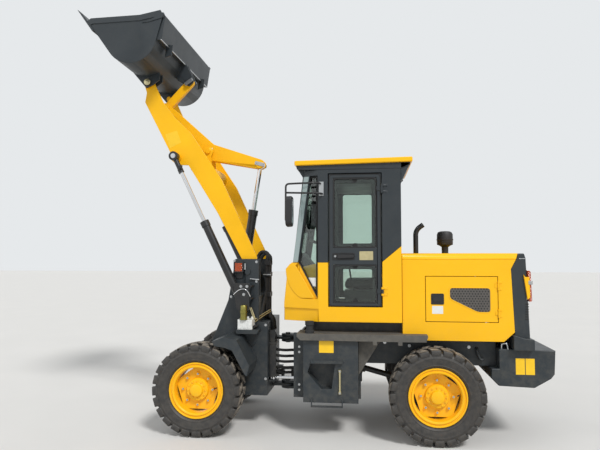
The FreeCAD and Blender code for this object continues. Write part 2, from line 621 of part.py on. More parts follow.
def edge_band(line, wide):
    """The closed outline of a band of even width to the left of an open line of (x, z) points."""
    normals = []
    for (x, z), (next_x, next_z) in zip(line, line[1:]):
        run = math.hypot(next_x - x, next_z - z)
        normals.append(((z - next_z) / run, (next_x - x) / run))
    inside = []
    for point, before, after in zip(line, normals[:1] + normals, normals + normals[-1:]):
        both_ways = (before[0] + after[0], before[1] + after[1])
        share = wide * 2 / (both_ways[0] ** 2 + both_ways[1] ** 2)
        inside.append((point[0] + both_ways[0] * share, point[1] + both_ways[1] * share))
    return line + inside[::-1]


def bucket():
    """Drawn with its floor level and its pin at the origin, blade towards -X."""
    wall = size("bucket_wall")
    drop = size("floor_drop")
    heel = size("heel_radius")
    cx, cz = size("heel_x"), heel - drop
    slope = math.radians(size("back_slope"))
    rise = size("back_rise")
    root = size("blade_root")

    def profile(radius, low_z):
        """Floor, round heel and straight back, one skin of the shell."""
        bend = math.radians(90) - slope
        normal = FreeCAD.Vector(math.cos(bend), 0, math.sin(bend))
        centre = FreeCAD.Vector(cx, 0, cz)
        middle_angle = (-math.pi / 2 + bend) / 2
        floor_end = FreeCAD.Vector(cx, 0, low_z)
        middle = centre + FreeCAD.Vector(math.cos(middle_angle), 0, math.sin(middle_angle)) * radius
        back = centre + normal * radius
        up = FreeCAD.Vector(-math.sin(bend), 0, math.cos(bend))
        return [FreeCAD.Vector(-root, 0, low_z), floor_end, middle, back, back + up * rise]

    def skin(points):
        """The floor, heel and back of a profile as edges."""
        start, floor_end, middle, back, top = points
        return [Part.makeLine(start, floor_end), Part.Arc(floor_end, middle, back).toShape(),
                Part.makeLine(back, top)]

    def plates(points, thick, places):
        """Flat pieces of one XZ outline at some places across the bucket."""
        corners = [FreeCAD.Vector(x, 0, z) for x, z in points]
        face = Part.Face(Part.makePolygon(corners + corners[:1]))
        return [face.translated(FreeCAD.Vector(0, low, 0)).extrude(FreeCAD.Vector(0, thick, 0)) for low in places]

    outer = profile(heel, -drop)
    inner = profile(heel - wall, -drop + wall)
    ends = [Part.makeLine(outer[-1], inner[-1]), Part.makeLine(inner[0], outer[0])]
    blade_half = size("bucket_half")
    half = blade_half - size("cutter_thick")
    side = size("bucket_side")
    section = Part.Face(Part.Wire(Part.sortEdges(skin(outer) + skin(inner) + ends)[0]))
    shell = section.translated(FreeCAD.Vector(0, side - half, 0)).extrude(FreeCAD.Vector(0, 2 * (half - side), 0))
    lip = size("side_lip")
    top = outer[-1]
    front = [(top.x - 60, top.z + 15), (-402, 395), (-lip, -39), (-lip, -drop)]
    tail = [top] + [FreeCAD.Vector(x, 0, z) for x, z in front] + [outer[0]]
    cheek = Part.Face(Part.Wire(skin(outer) + [Part.makeLine(a, b) for a, b in zip(tail, tail[1:])]))
    cheeks = [cheek.translated(FreeCAD.Vector(0, low, 0)).extrude(FreeCAD.Vector(0, side, 0))
              for low in (-half, half - side)]
    cutters = plates(edge_band(front, size("cutter_wide")), size("cutter_thick"), (-blade_half, half))
    arm = size("arm_y")
    lx, lz = size("link_pin_x"), size("link_pin_z")
    lugs = plates(((40, -50), (-190, -70), (-120, 50), (-200, 260), (-180, 300), (60, 120), (56, 20)), 16,
                  (-arm - 50, -arm + 34, arm - 50, arm + 34))
    lugs += plates(((lx + 40, lz - 30), (lx + 30, lz + 45), (lx - 40, lz + 70), (lx - 230, lz + 100),
                    (lx - 190, lz - 120), (lx - 100, lz - 90)), 18, (-48, 30))
    mouth = [Part.makeLine(inner[-1], inner[0])]
    room = Part.Face(Part.Wire(skin(inner) + mouth)).translated(FreeCAD.Vector(0, -half, 0))
    room = room.extrude(FreeCAD.Vector(0, 2 * half, 0))
    pin = size("pin_radius")
    link_pin = Part.makeCylinder(pin - 6, 116, FreeCAD.Vector(lx, -58, lz), Y_AXIS)
    body = shell.fuse(cheeks + cutters).fuse([lug.cut(room) for lug in lugs] + [link_pin])
    body = body.cut(Part.makeCylinder(pin + size("pin_play"), 2 * half, FreeCAD.Vector(0, -half, 0), Y_AXIS))
    base = FreeCAD.Vector(BUCKET_PIN[0], 0, BUCKET_PIN[1])
    turn = FreeCAD.Rotation(Y_AXIS, size("bucket_roll"))
    solid("bucket", body.removeSplitter(), base, turn)
    thick = size("blade_thick")
    tip = size("blade_tip")
    low_z = -drop - thick
    corners = ((-tip, low_z), (-tip, low_z + 4), (-tip + 60, -drop), (-root + 60, -drop), (-root + 60, low_z),
               (-tip, low_z))
    blade = Part.Face(Part.makePolygon([FreeCAD.Vector(x, -blade_half, z) for x, z in corners]))
    solid("cutting_edge", blade.extrude(FreeCAD.Vector(0, 2 * blade_half, 0)), base, turn)


bucket()


def bar(start, end, shape, label):
    """Place a shape drawn from the origin along +X between two points of the XZ plane."""
    angle = math.degrees(math.atan2(end[1] - start[1], end[0] - start[0]))
    turn = FreeCAD.Rotation(FreeCAD.Vector(0, -1, 0), angle)
    return solid(label, shape, FreeCAD.Vector(start[0], 0, start[1]), turn)


def distance(a, b):
    return math.hypot(b[0] - a[0], b[1] - a[1])


def along_x(radius, start, end, y=0.0):
    return Part.makeCylinder(radius, end - start, FreeCAD.Vector(start, y, 0), FreeCAD.Vector(1, 0, 0))


def across(radius, width, x, y=0.0, z=0.0):
    return Part.makeCylinder(radius, width, FreeCAD.Vector(x, y - width / 2, z), Y_AXIS)


def lift_cylinders():
    base = (size("lift_base_x"), size("lift_base_z"))
    length = distance(base, LIFT_EYE)
    bore, end = size("lift_bore"), size("lift_barrel")
    inside = size("lift_rod") + size("pin_play")
    pin = size("pin_radius") + size("pin_play")
    for side, sign in (("left", -1), ("right", 1)):
        y = sign * size("cyl_y")
        barrel = along_x(bore, 40, end, y).fuse([across(52, 76, 0, y), along_x(bore + 6, end - 60, end, y)])
        barrel = barrel.cut([across(pin, 120, 0, y), along_x(inside, 70, end + 1, y)])
        bar(base, LIFT_EYE, barrel.removeSplitter(), "lift_barrel_" + side)
        rod_shape = along_x(size("lift_rod"), 650, length - 30, y)
        rod_shape = rod_shape.fuse([across(48, 70, length, y), across(24, 88, length, y)])
        bar(base, LIFT_EYE, rod_shape.removeSplitter(), "lift_rod_" + side)


def tilt_cylinder():
    base = (size("tilt_base_x"), size("tilt_base_z"))
    length = distance(base, TAIL)
    bore, end = size("tilt_bore"), size("tilt_barrel")
    pin = size("pin_radius") + size("pin_play")
    barrel = along_x(bore, 40, end).fuse([across(54, 104, 0), along_x(bore + 6, end - 60, end)])
    barrel = barrel.cut([across(pin, 120, 0), along_x(size("tilt_rod") + size("pin_play"), 70, end + 1)])
    bar(base, TAIL, barrel.removeSplitter(), "tilt_barrel")
    rod_shape = along_x(size("tilt_rod"), 330, length - 30).fuse(across(46, 60, length))
    bar(base, TAIL, rod_shape.removeSplitter(), "tilt_rod")


def hull_outline(points, radii):
    """The outline round a row of circles: their common tangents, as a convex polygon of short runs."""
    marks = []
    for (x, z), radius in zip(points, radii):
        for step in range(24):
            turn = math.tau * step / 24
            marks.append((x + radius * math.cos(turn), z + radius * math.sin(turn)))
    marks = sorted(set(marks))

    def turns_in(a, b, c):
        return (b[0] - a[0]) * (c[1] - a[1]) <= (b[1] - a[1]) * (c[0] - a[0])

    def chain(rows):
        out = []
        for row in rows:
            while len(out) > 1 and turns_in(out[-2], out[-1], row):
                out.pop()
            out.append(row)
        return out[:-1]

    return chain(marks) + chain(marks[::-1])


def flat(points, radii, low, width):
    corners = [FreeCAD.Vector(x, low, z) for x, z in hull_outline(points, radii)]
    return Part.Face(Part.makePolygon(corners + corners[:1])).extrude(FreeCAD.Vector(0, width, 0))


def bellcrank():
    tail = (size("crank_tail_dx"), size("crank_tail_dz"))
    nose = (size("crank_nose_dx"), size("crank_nose_dz"))
    thick = size("crank_plate")
    mid = size("crank_plate_y")
    plates = []
    for y in (-mid, mid):
        rear = flat([(0, 0), tail], [95, 52], y - thick / 2, thick)
        front = flat([(0, 0), nose], [95, 52], y - thick / 2, thick)
        plates.append(rear.fuse(front))
        plates.append(across(44, 8, tail[0], y + math.copysign(thick / 2 + 4, y), tail[1]))
        plates.append(across(44, 8, nose[0], y + math.copysign(thick / 2 + 4, y), nose[1]))
    hub = across(66, 2 * mid + thick, 0)
    body = hub.fuse(plates).cut(across(size("pin_radius") + size("pin_play"), 300, 0))
    solid("bellcrank", body.removeSplitter(), FreeCAD.Vector(CRANK[0], 0, CRANK[1]), FreeCAD.Rotation())


def link():
    length = distance(LINK_PIN, NOSE)
    half = size("link_half")
    body = flat([(0, 0), (length, 0)], [46, 46], -half, 2 * half)
    bore = across(size("pin_radius") - 6 + size("pin_play"), 200, 0)
    bar(LINK_PIN, NOSE, body.cut(bore), "bucket_link")


def steering_cylinders():
    for side, sign in (("left", -1), ("right", 1)):
        base = FreeCAD.Vector(size("steer_base_x"), sign * size("steer_base_y"), size("steer_z"))
        eye = FreeCAD.Vector(size("steer_eye_x"), sign * size("steer_eye_y"), size("steer_z"))
        reach = eye - base
        turn = FreeCAD.Rotation(FreeCAD.Vector(1, 0, 0), reach)
        bore, end = size("steer_bore"), size("steer_barrel")
        upright = FreeCAD.Vector(0, 0, 1)
        end_eye = Part.makeCylinder(34, 50, FreeCAD.Vector(0, 0, -25), upright)
        barrel = along_x(bore, 24, end).fuse([end_eye, along_x(bore + 5, end - 40, end)])
        pin_hole = Part.makeCylinder(16 + size("pin_play"), 100, FreeCAD.Vector(0, 0, -50), upright)
        barrel = barrel.cut([pin_hole, along_x(size("steer_rod") + size("pin_play"), 38, end + 1)])
        solid("steer_barrel_" + side, barrel.removeSplitter(), base, turn)
        far = reach.Length
        rod_eye = Part.makeCylinder(30, 34, FreeCAD.Vector(far, 0, -17), upright)
        rod_shape = along_x(size("steer_rod"), 190, far - 16).fuse(rod_eye)
        solid("steer_rod_" + side, rod_shape.removeSplitter(), base, turn)


lift_cylinders()
tilt_cylinder()
bellcrank()
link()
steering_cylinders()

# Cab: lower panels, side frames with their windows, doors, roof, glass and inside

INSIDE = "cab_half - cab_wall"
SIDES = (("left", -1), ("right", 1))


def hinge(name, x, face, z, sign, radius):
    """One hinge on an outer face: the moving half, its bore, and the standing half with the pin."""
    tall = size("hinge_tall")
    y = sign * (face + radius + 1)
    near, far = sorted((sign * face, sign * (face + radius / 2)))
    pin = radius / 2
    low, high = z - tall / 2, z + tall / 2

    def knuckle(word, size_of, start, length):
        return rod(name + word, str(size_of), str(length), (str(x), str(y), str(start)))

    def leaf(word, start, stop, reach):
        left, right = sorted((x, x + reach))
        return box(name + word, (str(left), str(near), str(start)), (str(right), str(far), str(stop)))

    moving = [knuckle("_knuckle", radius, low, tall), leaf("_leaf", low, high, -4 * radius)]
    bore = knuckle("_bore", pin + size("pin_play"), low - 1, tall + 2)
    standing = [knuckle("_pin", pin, z - tall - 1, 2 * tall + 2)]
    for word, start in (("_upper", high + 1), ("_lower", z - tall - 1)):
        standing.append(knuckle(word, radius, start, tall / 2))
        standing.append(leaf(word + "_leaf", start, start + tall / 2, 4 * radius))
    return moving, bore, standing


DOOR_HINGES = {}
for side, sign in SIDES:
    for word, z in (("upper", 2430), ("lower", 1420)):
        DOOR_HINGES[side, word] = hinge("door_hinge_%s_%s" % (word, side), size("door_rear_x"),
                                        size("cab_half"), z, sign, 12)
    for word, z in (("upper", 1480), ("lower", 1220)):
        DOOR_HINGES["engine " + side, word] = hinge("side_hinge_%s_%s" % (word, side), size("side_door_rear_x"),
                                                    size("hood_half"), z, sign, 8)


def drawn_in(x):
    """The cab's half width at a point ahead of its corner."""
    corner = size("cab_corner_x")
    share = (corner - x) / (corner - size("cab_nose_x"))
    return size("cab_half") - share * (size("cab_half") - size("cab_nose_half"))


def wing_point(x, z, depth):
    """A point of the left drawn-in side, in from its outer face by a depth."""
    corner, nose = size("cab_corner_x"), size("cab_nose_x")
    run = FreeCAD.Vector(corner - nose, size("cab_nose_half") - size("cab_half"), 0).normalize()
    return FreeCAD.Vector(x, -drawn_in(x), z) + FreeCAD.Vector(-run.y, run.x, 0) * depth


def side_panel(name, outline, thick, depth=0.0):
    """A panel of the drawn-in side and its mirror image: (x, z) points, its thickness inward from a depth."""
    points = [wing_point(x, z, depth) for x, z in outline]
    inward = wing_point(0, 0, thick) - wing_point(0, 0, 0)
    panel = Part.Face(Part.makePolygon(points + points[:1])).extrude(inward)
    made = []
    for word, shape in (("left", panel), ("right", panel.mirror(FreeCAD.Vector(), Y_AXIS))):
        made.append(doc.addObject("Part::Feature", "%s_%s" % (name, word)))
        made[-1].Shape = shape
    return made


def spanning(name, rows, thick):
    """A flat piece between the two drawn-in sides, from (x, z, half width) rows, its thickness along +X."""
    points = [FreeCAD.Vector(x, -half, z) for x, z, half in rows]
    points += [FreeCAD.Vector(x, half, z) for x, z, half in rows[::-1]]
    made = doc.addObject("Part::Feature", name)
    made.Shape = Part.Face(Part.makePolygon(points + points[:1])).extrude(FreeCAD.Vector(thick, 0, 0))
    return made


def nose_line():
    """The nose from the side, upward: (x, z)."""
    nose = size("cab_nose_x")
    sill = size("cab_sill_z")
    return [(nose, size("cab_floor_z")), (nose, size("nose_knee_z")), (nose + 36, sill - 71), (nose + 80, sill)]


def cowl_facets(high, low):
    """What is cut away between the slanted lower edge of a side window and a round line on the panel."""
    outside, inside = -1, size("cowl_facet")
    line = [wing_point(x, z, outside) for x, z in ((-221, 1572), (-190, 1430), (-150, 1362), (-97, 1338))]
    line.append(wing_point(low[0] + 1, 1337, outside))
    (high_x, high_z), (low_x, low_z) = high, low
    top_out, top_in = (wing_point(high_x - 1, high_z + 2, depth) for depth in (outside, inside))
    foot_out, foot_in = (wing_point(low_x + 1, low_z + 2, depth) for depth in (outside, inside))
    rings = [line + [foot_out, top_out], [top_out, foot_out, foot_in, top_in], [top_out, top_in, line[0]],
             [foot_out, line[-1], foot_in], [line[-2], foot_in, line[-1]], [line[-2], top_in, foot_in]]
    rings += [[a, top_in, b] for a, b in zip(line[:-2], line[1:-1])]
    faces = [Part.Face(Part.makePolygon(ring + ring[:1])) for ring in rings]
    wedge = Part.Solid(Part.Shell(faces))
    if wedge.Volume < 0:
        wedge.reverse()
    made = []
    for word, shape in (("left", wedge), ("right", wedge.mirror(FreeCAD.Vector(), Y_AXIS))):
        made.append(doc.addObject("Part::Feature", "cowl_facet_" + word))
        made[-1].Shape = shape
    return made


def quarter_opening():
    """The front side window, down to the slanted top of the lower panel: (x, z)."""
    corner, sill = size("cab_corner_x"), size("cab_sill_z")
    frame = size("cab_frame_wide")
    return [(size("post_low_x") + frame, sill), (size("post_top_x") + frame, size("cab_top_z") - frame),
            (corner - 10, size("cab_top_z") - frame), (corner - 10, size("quarter_low_z"))]


def cab_cowl():
    sill = [("cab_corner_x", "cab_floor_z"), ("cab_rear_x", "cab_floor_z"), ("cab_rear_x", "cab_back_z + 25"),
            ("door_rear_x", "cab_sill_z + 7"), ("door_rear_x", "door_low_z"), ("door_front_x", "door_low_z"),
            ("door_front_x", "cab_sill_z"), ("cab_corner_x", "cab_sill_z")]
    lower = plate("cowl_side", sill, "cab_wall", "-cab_half + cab_wall / 2")
    opening = quarter_opening()
    wall = size("cab_wall")
    corner, floor_z = size("cab_corner_x"), size("cab_floor_z")
    behind = opening[-1][0]
    sill_z = size("cab_sill_z")
    wing = nose_line() + [opening[0], opening[-1], (behind, sill_z), (corner, sill_z), (corner, floor_z)]
    panels = side_panel("cowl_wing", wing, wall)
    recess_z = size("cowl_recess_z")
    recess = [(corner, floor_z - 5), (corner, recess_z), (nose_line()[0][0] - 20, recess_z),
              (nose_line()[0][0] - 20, floor_z - 5)]
    recesses = side_panel("cowl_recess", recess, size("cowl_recess") + 5, -5)
    facets = cowl_facets(opening[0], opening[-1])
    panels = [cut("cowl_wing_cut_%d" % number, panel, [low, facet])
              for number, (panel, low, facet) in enumerate(zip(panels, recesses, facets))]
    line = nose_line()
    front = []
    for step, (low, high) in enumerate(zip(line, line[1:])):
        rows = [(x, z, drawn_in(x) - wall / 2) for x, z in (low, high)]
        front.append(spanning("cowl_nose_%d" % step, rows, size("cowl_sheet")))
    floor = doc.addObject("Part::Feature", "cab_floor")
    rear, nose = size("cab_rear_x"), size("cab_nose_x")
    inside = size("cab_half") - wall
    plan = [(rear, inside), (corner, inside), (nose + 1, size("cab_nose_half") - wall)]
    points = [FreeCAD.Vector(x, -y, floor_z) for x, y in plan]
    points += [FreeCAD.Vector(x, y, floor_z) for x, y in plan[::-1]]
    floor.Shape = Part.Face(Part.makePolygon(points + points[:1])).extrude(FreeCAD.Vector(0, 0, 24))
    back = box("cab_back", ("cab_rear_x - 30", "-(%s)" % INSIDE, "cab_floor_z"), ("cab_rear_x", INSIDE, "cab_back_z"))
    halves = DOOR_HINGES["left", "lower"][2] + DOOR_HINGES["right", "lower"][2]
    joined("cab_cowl", both("cowl_side", lower) + panels + front + [floor, back] + halves)


def cab_frame():
    upper = [("door_front_x", "cab_sill_z"), ("cab_corner_x", "cab_sill_z"), ("cab_corner_x", "cab_top_z"),
             ("cab_rear_x", "cab_top_z"), ("cab_rear_x", "cab_back_z + 25"), ("door_rear_x", "cab_sill_z + 7"),
             ("door_rear_x", "door_top_z"), ("door_front_x", "door_top_z")]
    side = plate("cab_side", upper, "cab_wall", "-cab_half + cab_wall / 2")
    opening = quarter_opening()
    corner, top = size("cab_corner_x"), size("cab_top_z")
    sill_z = size("cab_sill_z")
    strip = [(opening[-1][0], sill_z), (corner, sill_z), (corner, top)]
    outline = opening[:3] + strip + [(size("post_top_x"), top), (size("post_low_x"), sill_z)]
    posts = side_panel("front_post", outline, size("cab_wall"))
    low_y = "-(%s)" % INSIDE
    half = "cab_nose_half + cab_wall"
    beams = [box("beam_front", ("post_top_x", "-(%s)" % half, "cab_top_z - 60"),
                 ("post_top_x + 55", half, "cab_top_z")),
             box("beam_rear", ("cab_rear_x - 45", low_y, "cab_top_z - 80"), ("cab_rear_x", INSIDE, "cab_top_z")),
             box("beam_low", ("cab_rear_x - 45", low_y, "cab_back_z"), ("cab_rear_x", INSIDE, "cab_back_z + 82"))]
    halves = DOOR_HINGES["left", "upper"][2] + DOOR_HINGES["right", "upper"][2]
    joined("cab_frame", both("cab_side", side) + posts + beams + halves)


def cab_roof():
    outline = [("roof_front_x", "cab_top_z"), ("roof_rear_x", "cab_top_z"),
               ("roof_rear_x", "cab_top_z + roof_thick + 20"), ("roof_front_x", "cab_top_z + roof_thick")]
    joined("cab_roof", [plate("roof_slab", outline, "2 * roof_half", "0")])


def door_pane(name, low, high, border, thick, middle):
    """The outline of a door window, set in from the opening's edges by a border."""
    front = "door_front_x + %s" % border
    rear = "door_rear_x - %s" % border
    return plate(name, [(front, low), (rear, low), (rear, high), (front, high)], thick, middle)


def cab_doors():
    gap = "door_gap"
    outline = [("door_front_x + " + gap, "door_low_z + " + gap), ("door_rear_x - " + gap, "door_low_z + " + gap),
               ("door_rear_x - " + gap, "door_top_z - " + gap), ("door_front_x + " + gap, "door_top_z - " + gap)]
    for side, sign in SIDES:
        label = "cab_door_" + side
        middle = "%d * (cab_half - cab_wall / 2)" % sign
        leaf = plate(label + "_leaf", outline, "cab_wall", middle)
        holes = []
        panes = []
        for word, low, high in (("upper", "cab_sill_z + 145", "door_top_z - 45"),
                                ("lower", "door_low_z + 37", "cab_sill_z - 20")):
            holes.append(door_pane("%s_%s" % (label, word), low, high, "50", "cab_wall + 20", middle))
            panes.append(door_pane("%s_glass_%s" % (label, word), low, high, "50", "glass", middle))
        rows = [DOOR_HINGES[side, word] for word in ("upper", "lower")]
        joined(label, [leaf] + rows[0][0] + rows[1][0], holes + [rows[0][1], rows[1][1]])
        joined(label + "_glass", panes)


def cab_glass():
    depth = size("cowl_facet") + 3
    sill, top_front, top_rear, foot = quarter_opening()
    back = size("glass_back")
    slope = (sill[1] - foot[1]) / (foot[0] - sill[0])
    outline = [sill, top_front, (top_rear[0] - back, top_rear[1]), (foot[0] - back, foot[1] + back * slope)]
    panes = side_panel("quarter_glass", outline, size("glass"), depth)
    low, high = size("cab_sill_z"), size("cab_top_z") - 60
    share = (high - low) / (size("cab_top_z") - low)
    low_x = size("post_low_x") + 12
    high_x = low_x + share * (size("post_top_x") - size("post_low_x")) - 6
    rows = [(x, z, drawn_in(x) - size("cab_wall") * 1.07) for x, z in ((low_x, low), (high_x, high))]
    panes.append(spanning("windshield", rows, size("glass")))
    panes.append(box("rear_glass", ("cab_rear_x - 26", "-cab_half + cab_wall", "cab_back_z + 82"),
                     ("cab_rear_x - 20", "cab_half - cab_wall", "cab_top_z - 80")))
    joined("cab_glass", panes)


def cab_inside():
    seat = [box("seat_base", ("400", "-170", "cab_floor_z + 24"), ("720", "170", "cushion_z")),
            box("seat_cushion", ("350", "-250", "cushion_z"), ("820", "250", "cushion_z + 130")),
            plate("seat_back", [("720", "cushion_z + 100"), ("820", "cushion_z + 100"),
                                ("860", "cushion_z + 650"), ("790", "cushion_z + 670")], "460", "0")]
    joined("operator_seat", seat)
    centre = FreeCAD.Vector(150, 0, size("wheel_z"))
    tilt = FreeCAD.Rotation(Y_AXIS, 20)
    axis = tilt.multVec(FreeCAD.Vector(0, 0, 1))
    block = Part.makeBox(160, 400, 500, FreeCAD.Vector(-140, -200, size("cab_floor_z") + 24))
    column = Part.makeCylinder(35, 360, centre - axis * 420, axis)
    solid("console", block.fuse(column))
    ring = Part.makeTorus(190, 16, FreeCAD.Vector(0, 0, 0), FreeCAD.Vector(0, 0, 1))
    spoke = Part.makeBox(370, 34, 14, FreeCAD.Vector(-185, -17, -7))
    hub = Part.makeCylinder(40, 60, FreeCAD.Vector(0, 0, -60))
    solid("steering_wheel", ring.fuse([spoke, hub]), centre, tilt)


def mirrors():
    pieces = []
    for side, sign in SIDES:
        arm = "%d * mirror_y" % sign
        inner = "-mirror_y" if sign < 0 else "cab_half"
        for word, z in (("upper", "2505"), ("lower", "2395")):
            pieces.append(rod("mirror_foot_%s_%s" % (word, side), "10", "mirror_y - cab_half", ("125", inner, z), "y"))
            pieces.append(rod("mirror_bar_%s_%s" % (word, side), "10", "321", ("-196", arm, z), "x"))
        pieces.append(rod("mirror_post_" + side, "10", "400", ("-196", arm, "2110")))
        near = "-mirror_y - 165" if sign < 0 else "mirror_y - 15"
        pieces.append(box("mirror_head_" + side, ("-190", near, "2045"), ("-140", near + " + 180", "2375")))
    joined("mirrors", pieces)


cab_cowl()
cab_frame()
cab_roof()
cab_doors()
cab_glass()
cab_inside()
mirrors()

# Hood, engine doors, grille housing, counterweight and what stands on the rear frame

# Lamps: front and low corner, rear and high corner, nearest and farthest from the middle plane
TURN_LAMP = (("-781", "1600"), ("-705", "1700"), "tower_y + 10", "tower_y + 45")
TAIL_LAMP = (("grille_rear_x - 18", "1343"), ("grille_rear_x + 32", "1600"), "hood_half - 60", "hood_half + 30")


def lamp_boxes(name, row):
    low, high, near, far = row
    return [box(name + "_left", (low[0], "-(%s)" % far, low[1]), (high[0], "-(%s)" % near, high[1])),
            box(name + "_right", (low[0], near, low[1]), (high[0], far, high[1]))]


def hood():
    outline = [("cab_rear_x + 5", "hood_low_z"), ("hood_rear_x - 75", "hood_low_z"), ("hood_rear_x + 25", "1040"),
               ("hood_rear_x", "1641"), ("hood_rear_x + 48", "hood_top_z - hood_roll"),
               ("cab_rear_x + 5", "hood_top_z - hood_roll")]
    side = plate("hood_side", outline, "hood_wall", "-hood_half + hood_wall / 2")
    opening = [("side_door_front_x", "side_door_low_z"), ("side_door_rear_x", "side_door_low_z"),
               ("side_door_rear_x", "side_door_top_z"), ("side_door_front_x", "side_door_top_z")]
    gap = plate("side_opening", opening, "hood_wall + 20", "-hood_half + hood_wall / 2")
    open_side = cut("hood_side_cut", side, [gap])
    half, wall, top_z = size("hood_half"), size("hood_wall"), size("hood_top_z")
    roll, corner = size("hood_roll"), size("hood_corner")
    side_line = [(-half, top_z - roll), (-half, top_z - corner), (-half + corner, top_z), (half - corner, top_z),
                 (half, top_z - corner), (half, top_z - roll), (half - wall, top_z - roll),
                 (half - wall, top_z - corner - wall / 2), (half - corner - wall / 2, top_z - wall),
                 (-half + corner + wall / 2, top_z - wall), (-half + wall, top_z - corner - wall / 2),
                 (-half + wall, top_z - roll), (-half, top_z - roll)]
    start = size("cab_rear_x") + 5
    line = Part.makePolygon([FreeCAD.Vector(start, y, z) for y, z in side_line])
    cap = doc.addObject("Part::Feature", "hood_cap")
    cap.Shape = Part.Face(line).extrude(FreeCAD.Vector(size("hood_rear_x") + 79 - start, 0, 0))
    slant = plate("hood_slant", [("hood_rear_x - 1", "1641"), ("hood_rear_x + 79", "hood_top_z"),
                                 ("hood_rear_x + 79", "hood_top_z + 10"), ("hood_rear_x + 90", "hood_top_z + 10"),
                                 ("hood_rear_x + 90", "1641")], "2 * hood_half + 20", "0")
    front = box("hood_front", ("cab_rear_x + 5", "-hood_half + hood_wall", "rail_top_z"),
                ("cab_rear_x + 20", "hood_half - hood_wall", "hood_top_z - hood_wall / 2"))
    halves = []
    for side in ("left", "right"):
        for word in ("upper", "lower"):
            halves += DOOR_HINGES["engine " + side, word][2]
    joined("hood", [cut("hood_cap_cut", cap, [slant]), front])
    joined("hood_sides", both("hood_side", open_side) + halves)
    leaf = [("side_door_front_x + side_door_gap", "side_door_low_z + side_door_gap"),
            ("side_door_rear_x - side_door_gap", "side_door_low_z + side_door_gap"),
            ("side_door_rear_x - side_door_gap", "side_door_top_z - side_door_gap"),
            ("side_door_front_x + side_door_gap", "side_door_top_z - side_door_gap")]
    for word, sign in SIDES:
        label = "engine_door_" + word
        rows = [DOOR_HINGES["engine " + word, level] for level in ("upper", "lower")]
        door = plate(label + "_leaf", leaf, "hood_wall", "%d * (hood_half - hood_wall / 2)" % sign)
        joined(label, [door] + rows[0][0] + rows[1][0], [rows[0][1], rows[1][1]])


def grille():
    shell = [("hood_rear_x + 25", "1040"), ("hood_rear_x + 25", "876"), ("grille_rear_x + 14", "876"),
             ("grille_rear_x - 16", "1744"), ("grille_rear_x - 30", "hood_top_z - 2"),
             ("hood_rear_x + 80", "hood_top_z - 2"), ("hood_rear_x", "1641")]
    room = box("grille_room", ("hood_rear_x - 60", "-hood_half + 90", "1080"),
               ("grille_rear_x + 60", "hood_half - 90", "1640"))
    joined("grille_housing", [plate("grille_shell", shell, "2 * hood_half", "0")],
           [room] + lamp_boxes("lamp_recess", TAIL_LAMP))
    slats = []
    for step in range(9):
        low = 1110 + 60 * step
        slats.append(box("slat_%d" % step, ("grille_rear_x - 60", "-hood_half + 90", str(low)),
                         ("grille_rear_x - 20", "hood_half - 90", str(low + 16))))
    for word, y in (("left", "-240"), ("middle", "-10"), ("right", "220")):
        slats.append(box("slat_rib_" + word, ("grille_rear_x - 60", y, "1080"),
                         ("grille_rear_x - 45", y + " + 20", "1640")))
    joined("radiator_grille", slats)
    joined("radiator", [box("radiator_core", ("hood_rear_x + 10", "-hood_half + 90", "1080"),
                            ("hood_rear_x + 70", "hood_half - 90", "1640"))])
    joined("engine", [box("engine_block", ("side_door_front_x", "-240", "850"),
                          ("hood_rear_x - 195", "240", "1520"))])


def counterweight():
    outline = [("rail_rear_x", "876"), ("rail_rear_x", "rail_arch_z"), ("rail_rear_x - 72", "rail_arch_z"),
               ("rail_rear_x - 79", "602"), ("rail_rear_x - 7", "528"),
               ("weight_rear_x - 197", "516"), ("weight_rear_x - 45", "606"),
               ("weight_rear_x - 12", "649"), ("weight_rear_x", "869"), ("grille_rear_x + 20", "876")]
    block = plate("weight_block", outline, "2 * weight_half", "0")
    slot = box("tow_slot", ("weight_rear_x - 130", "-90", "700"), ("weight_rear_x + 10", "90", "780"))
    bore = rod("tow_bore", "16", "420", ("weight_rear_x - 70", "0", "480"))
    joined("counterweight", [block], [slot, bore])


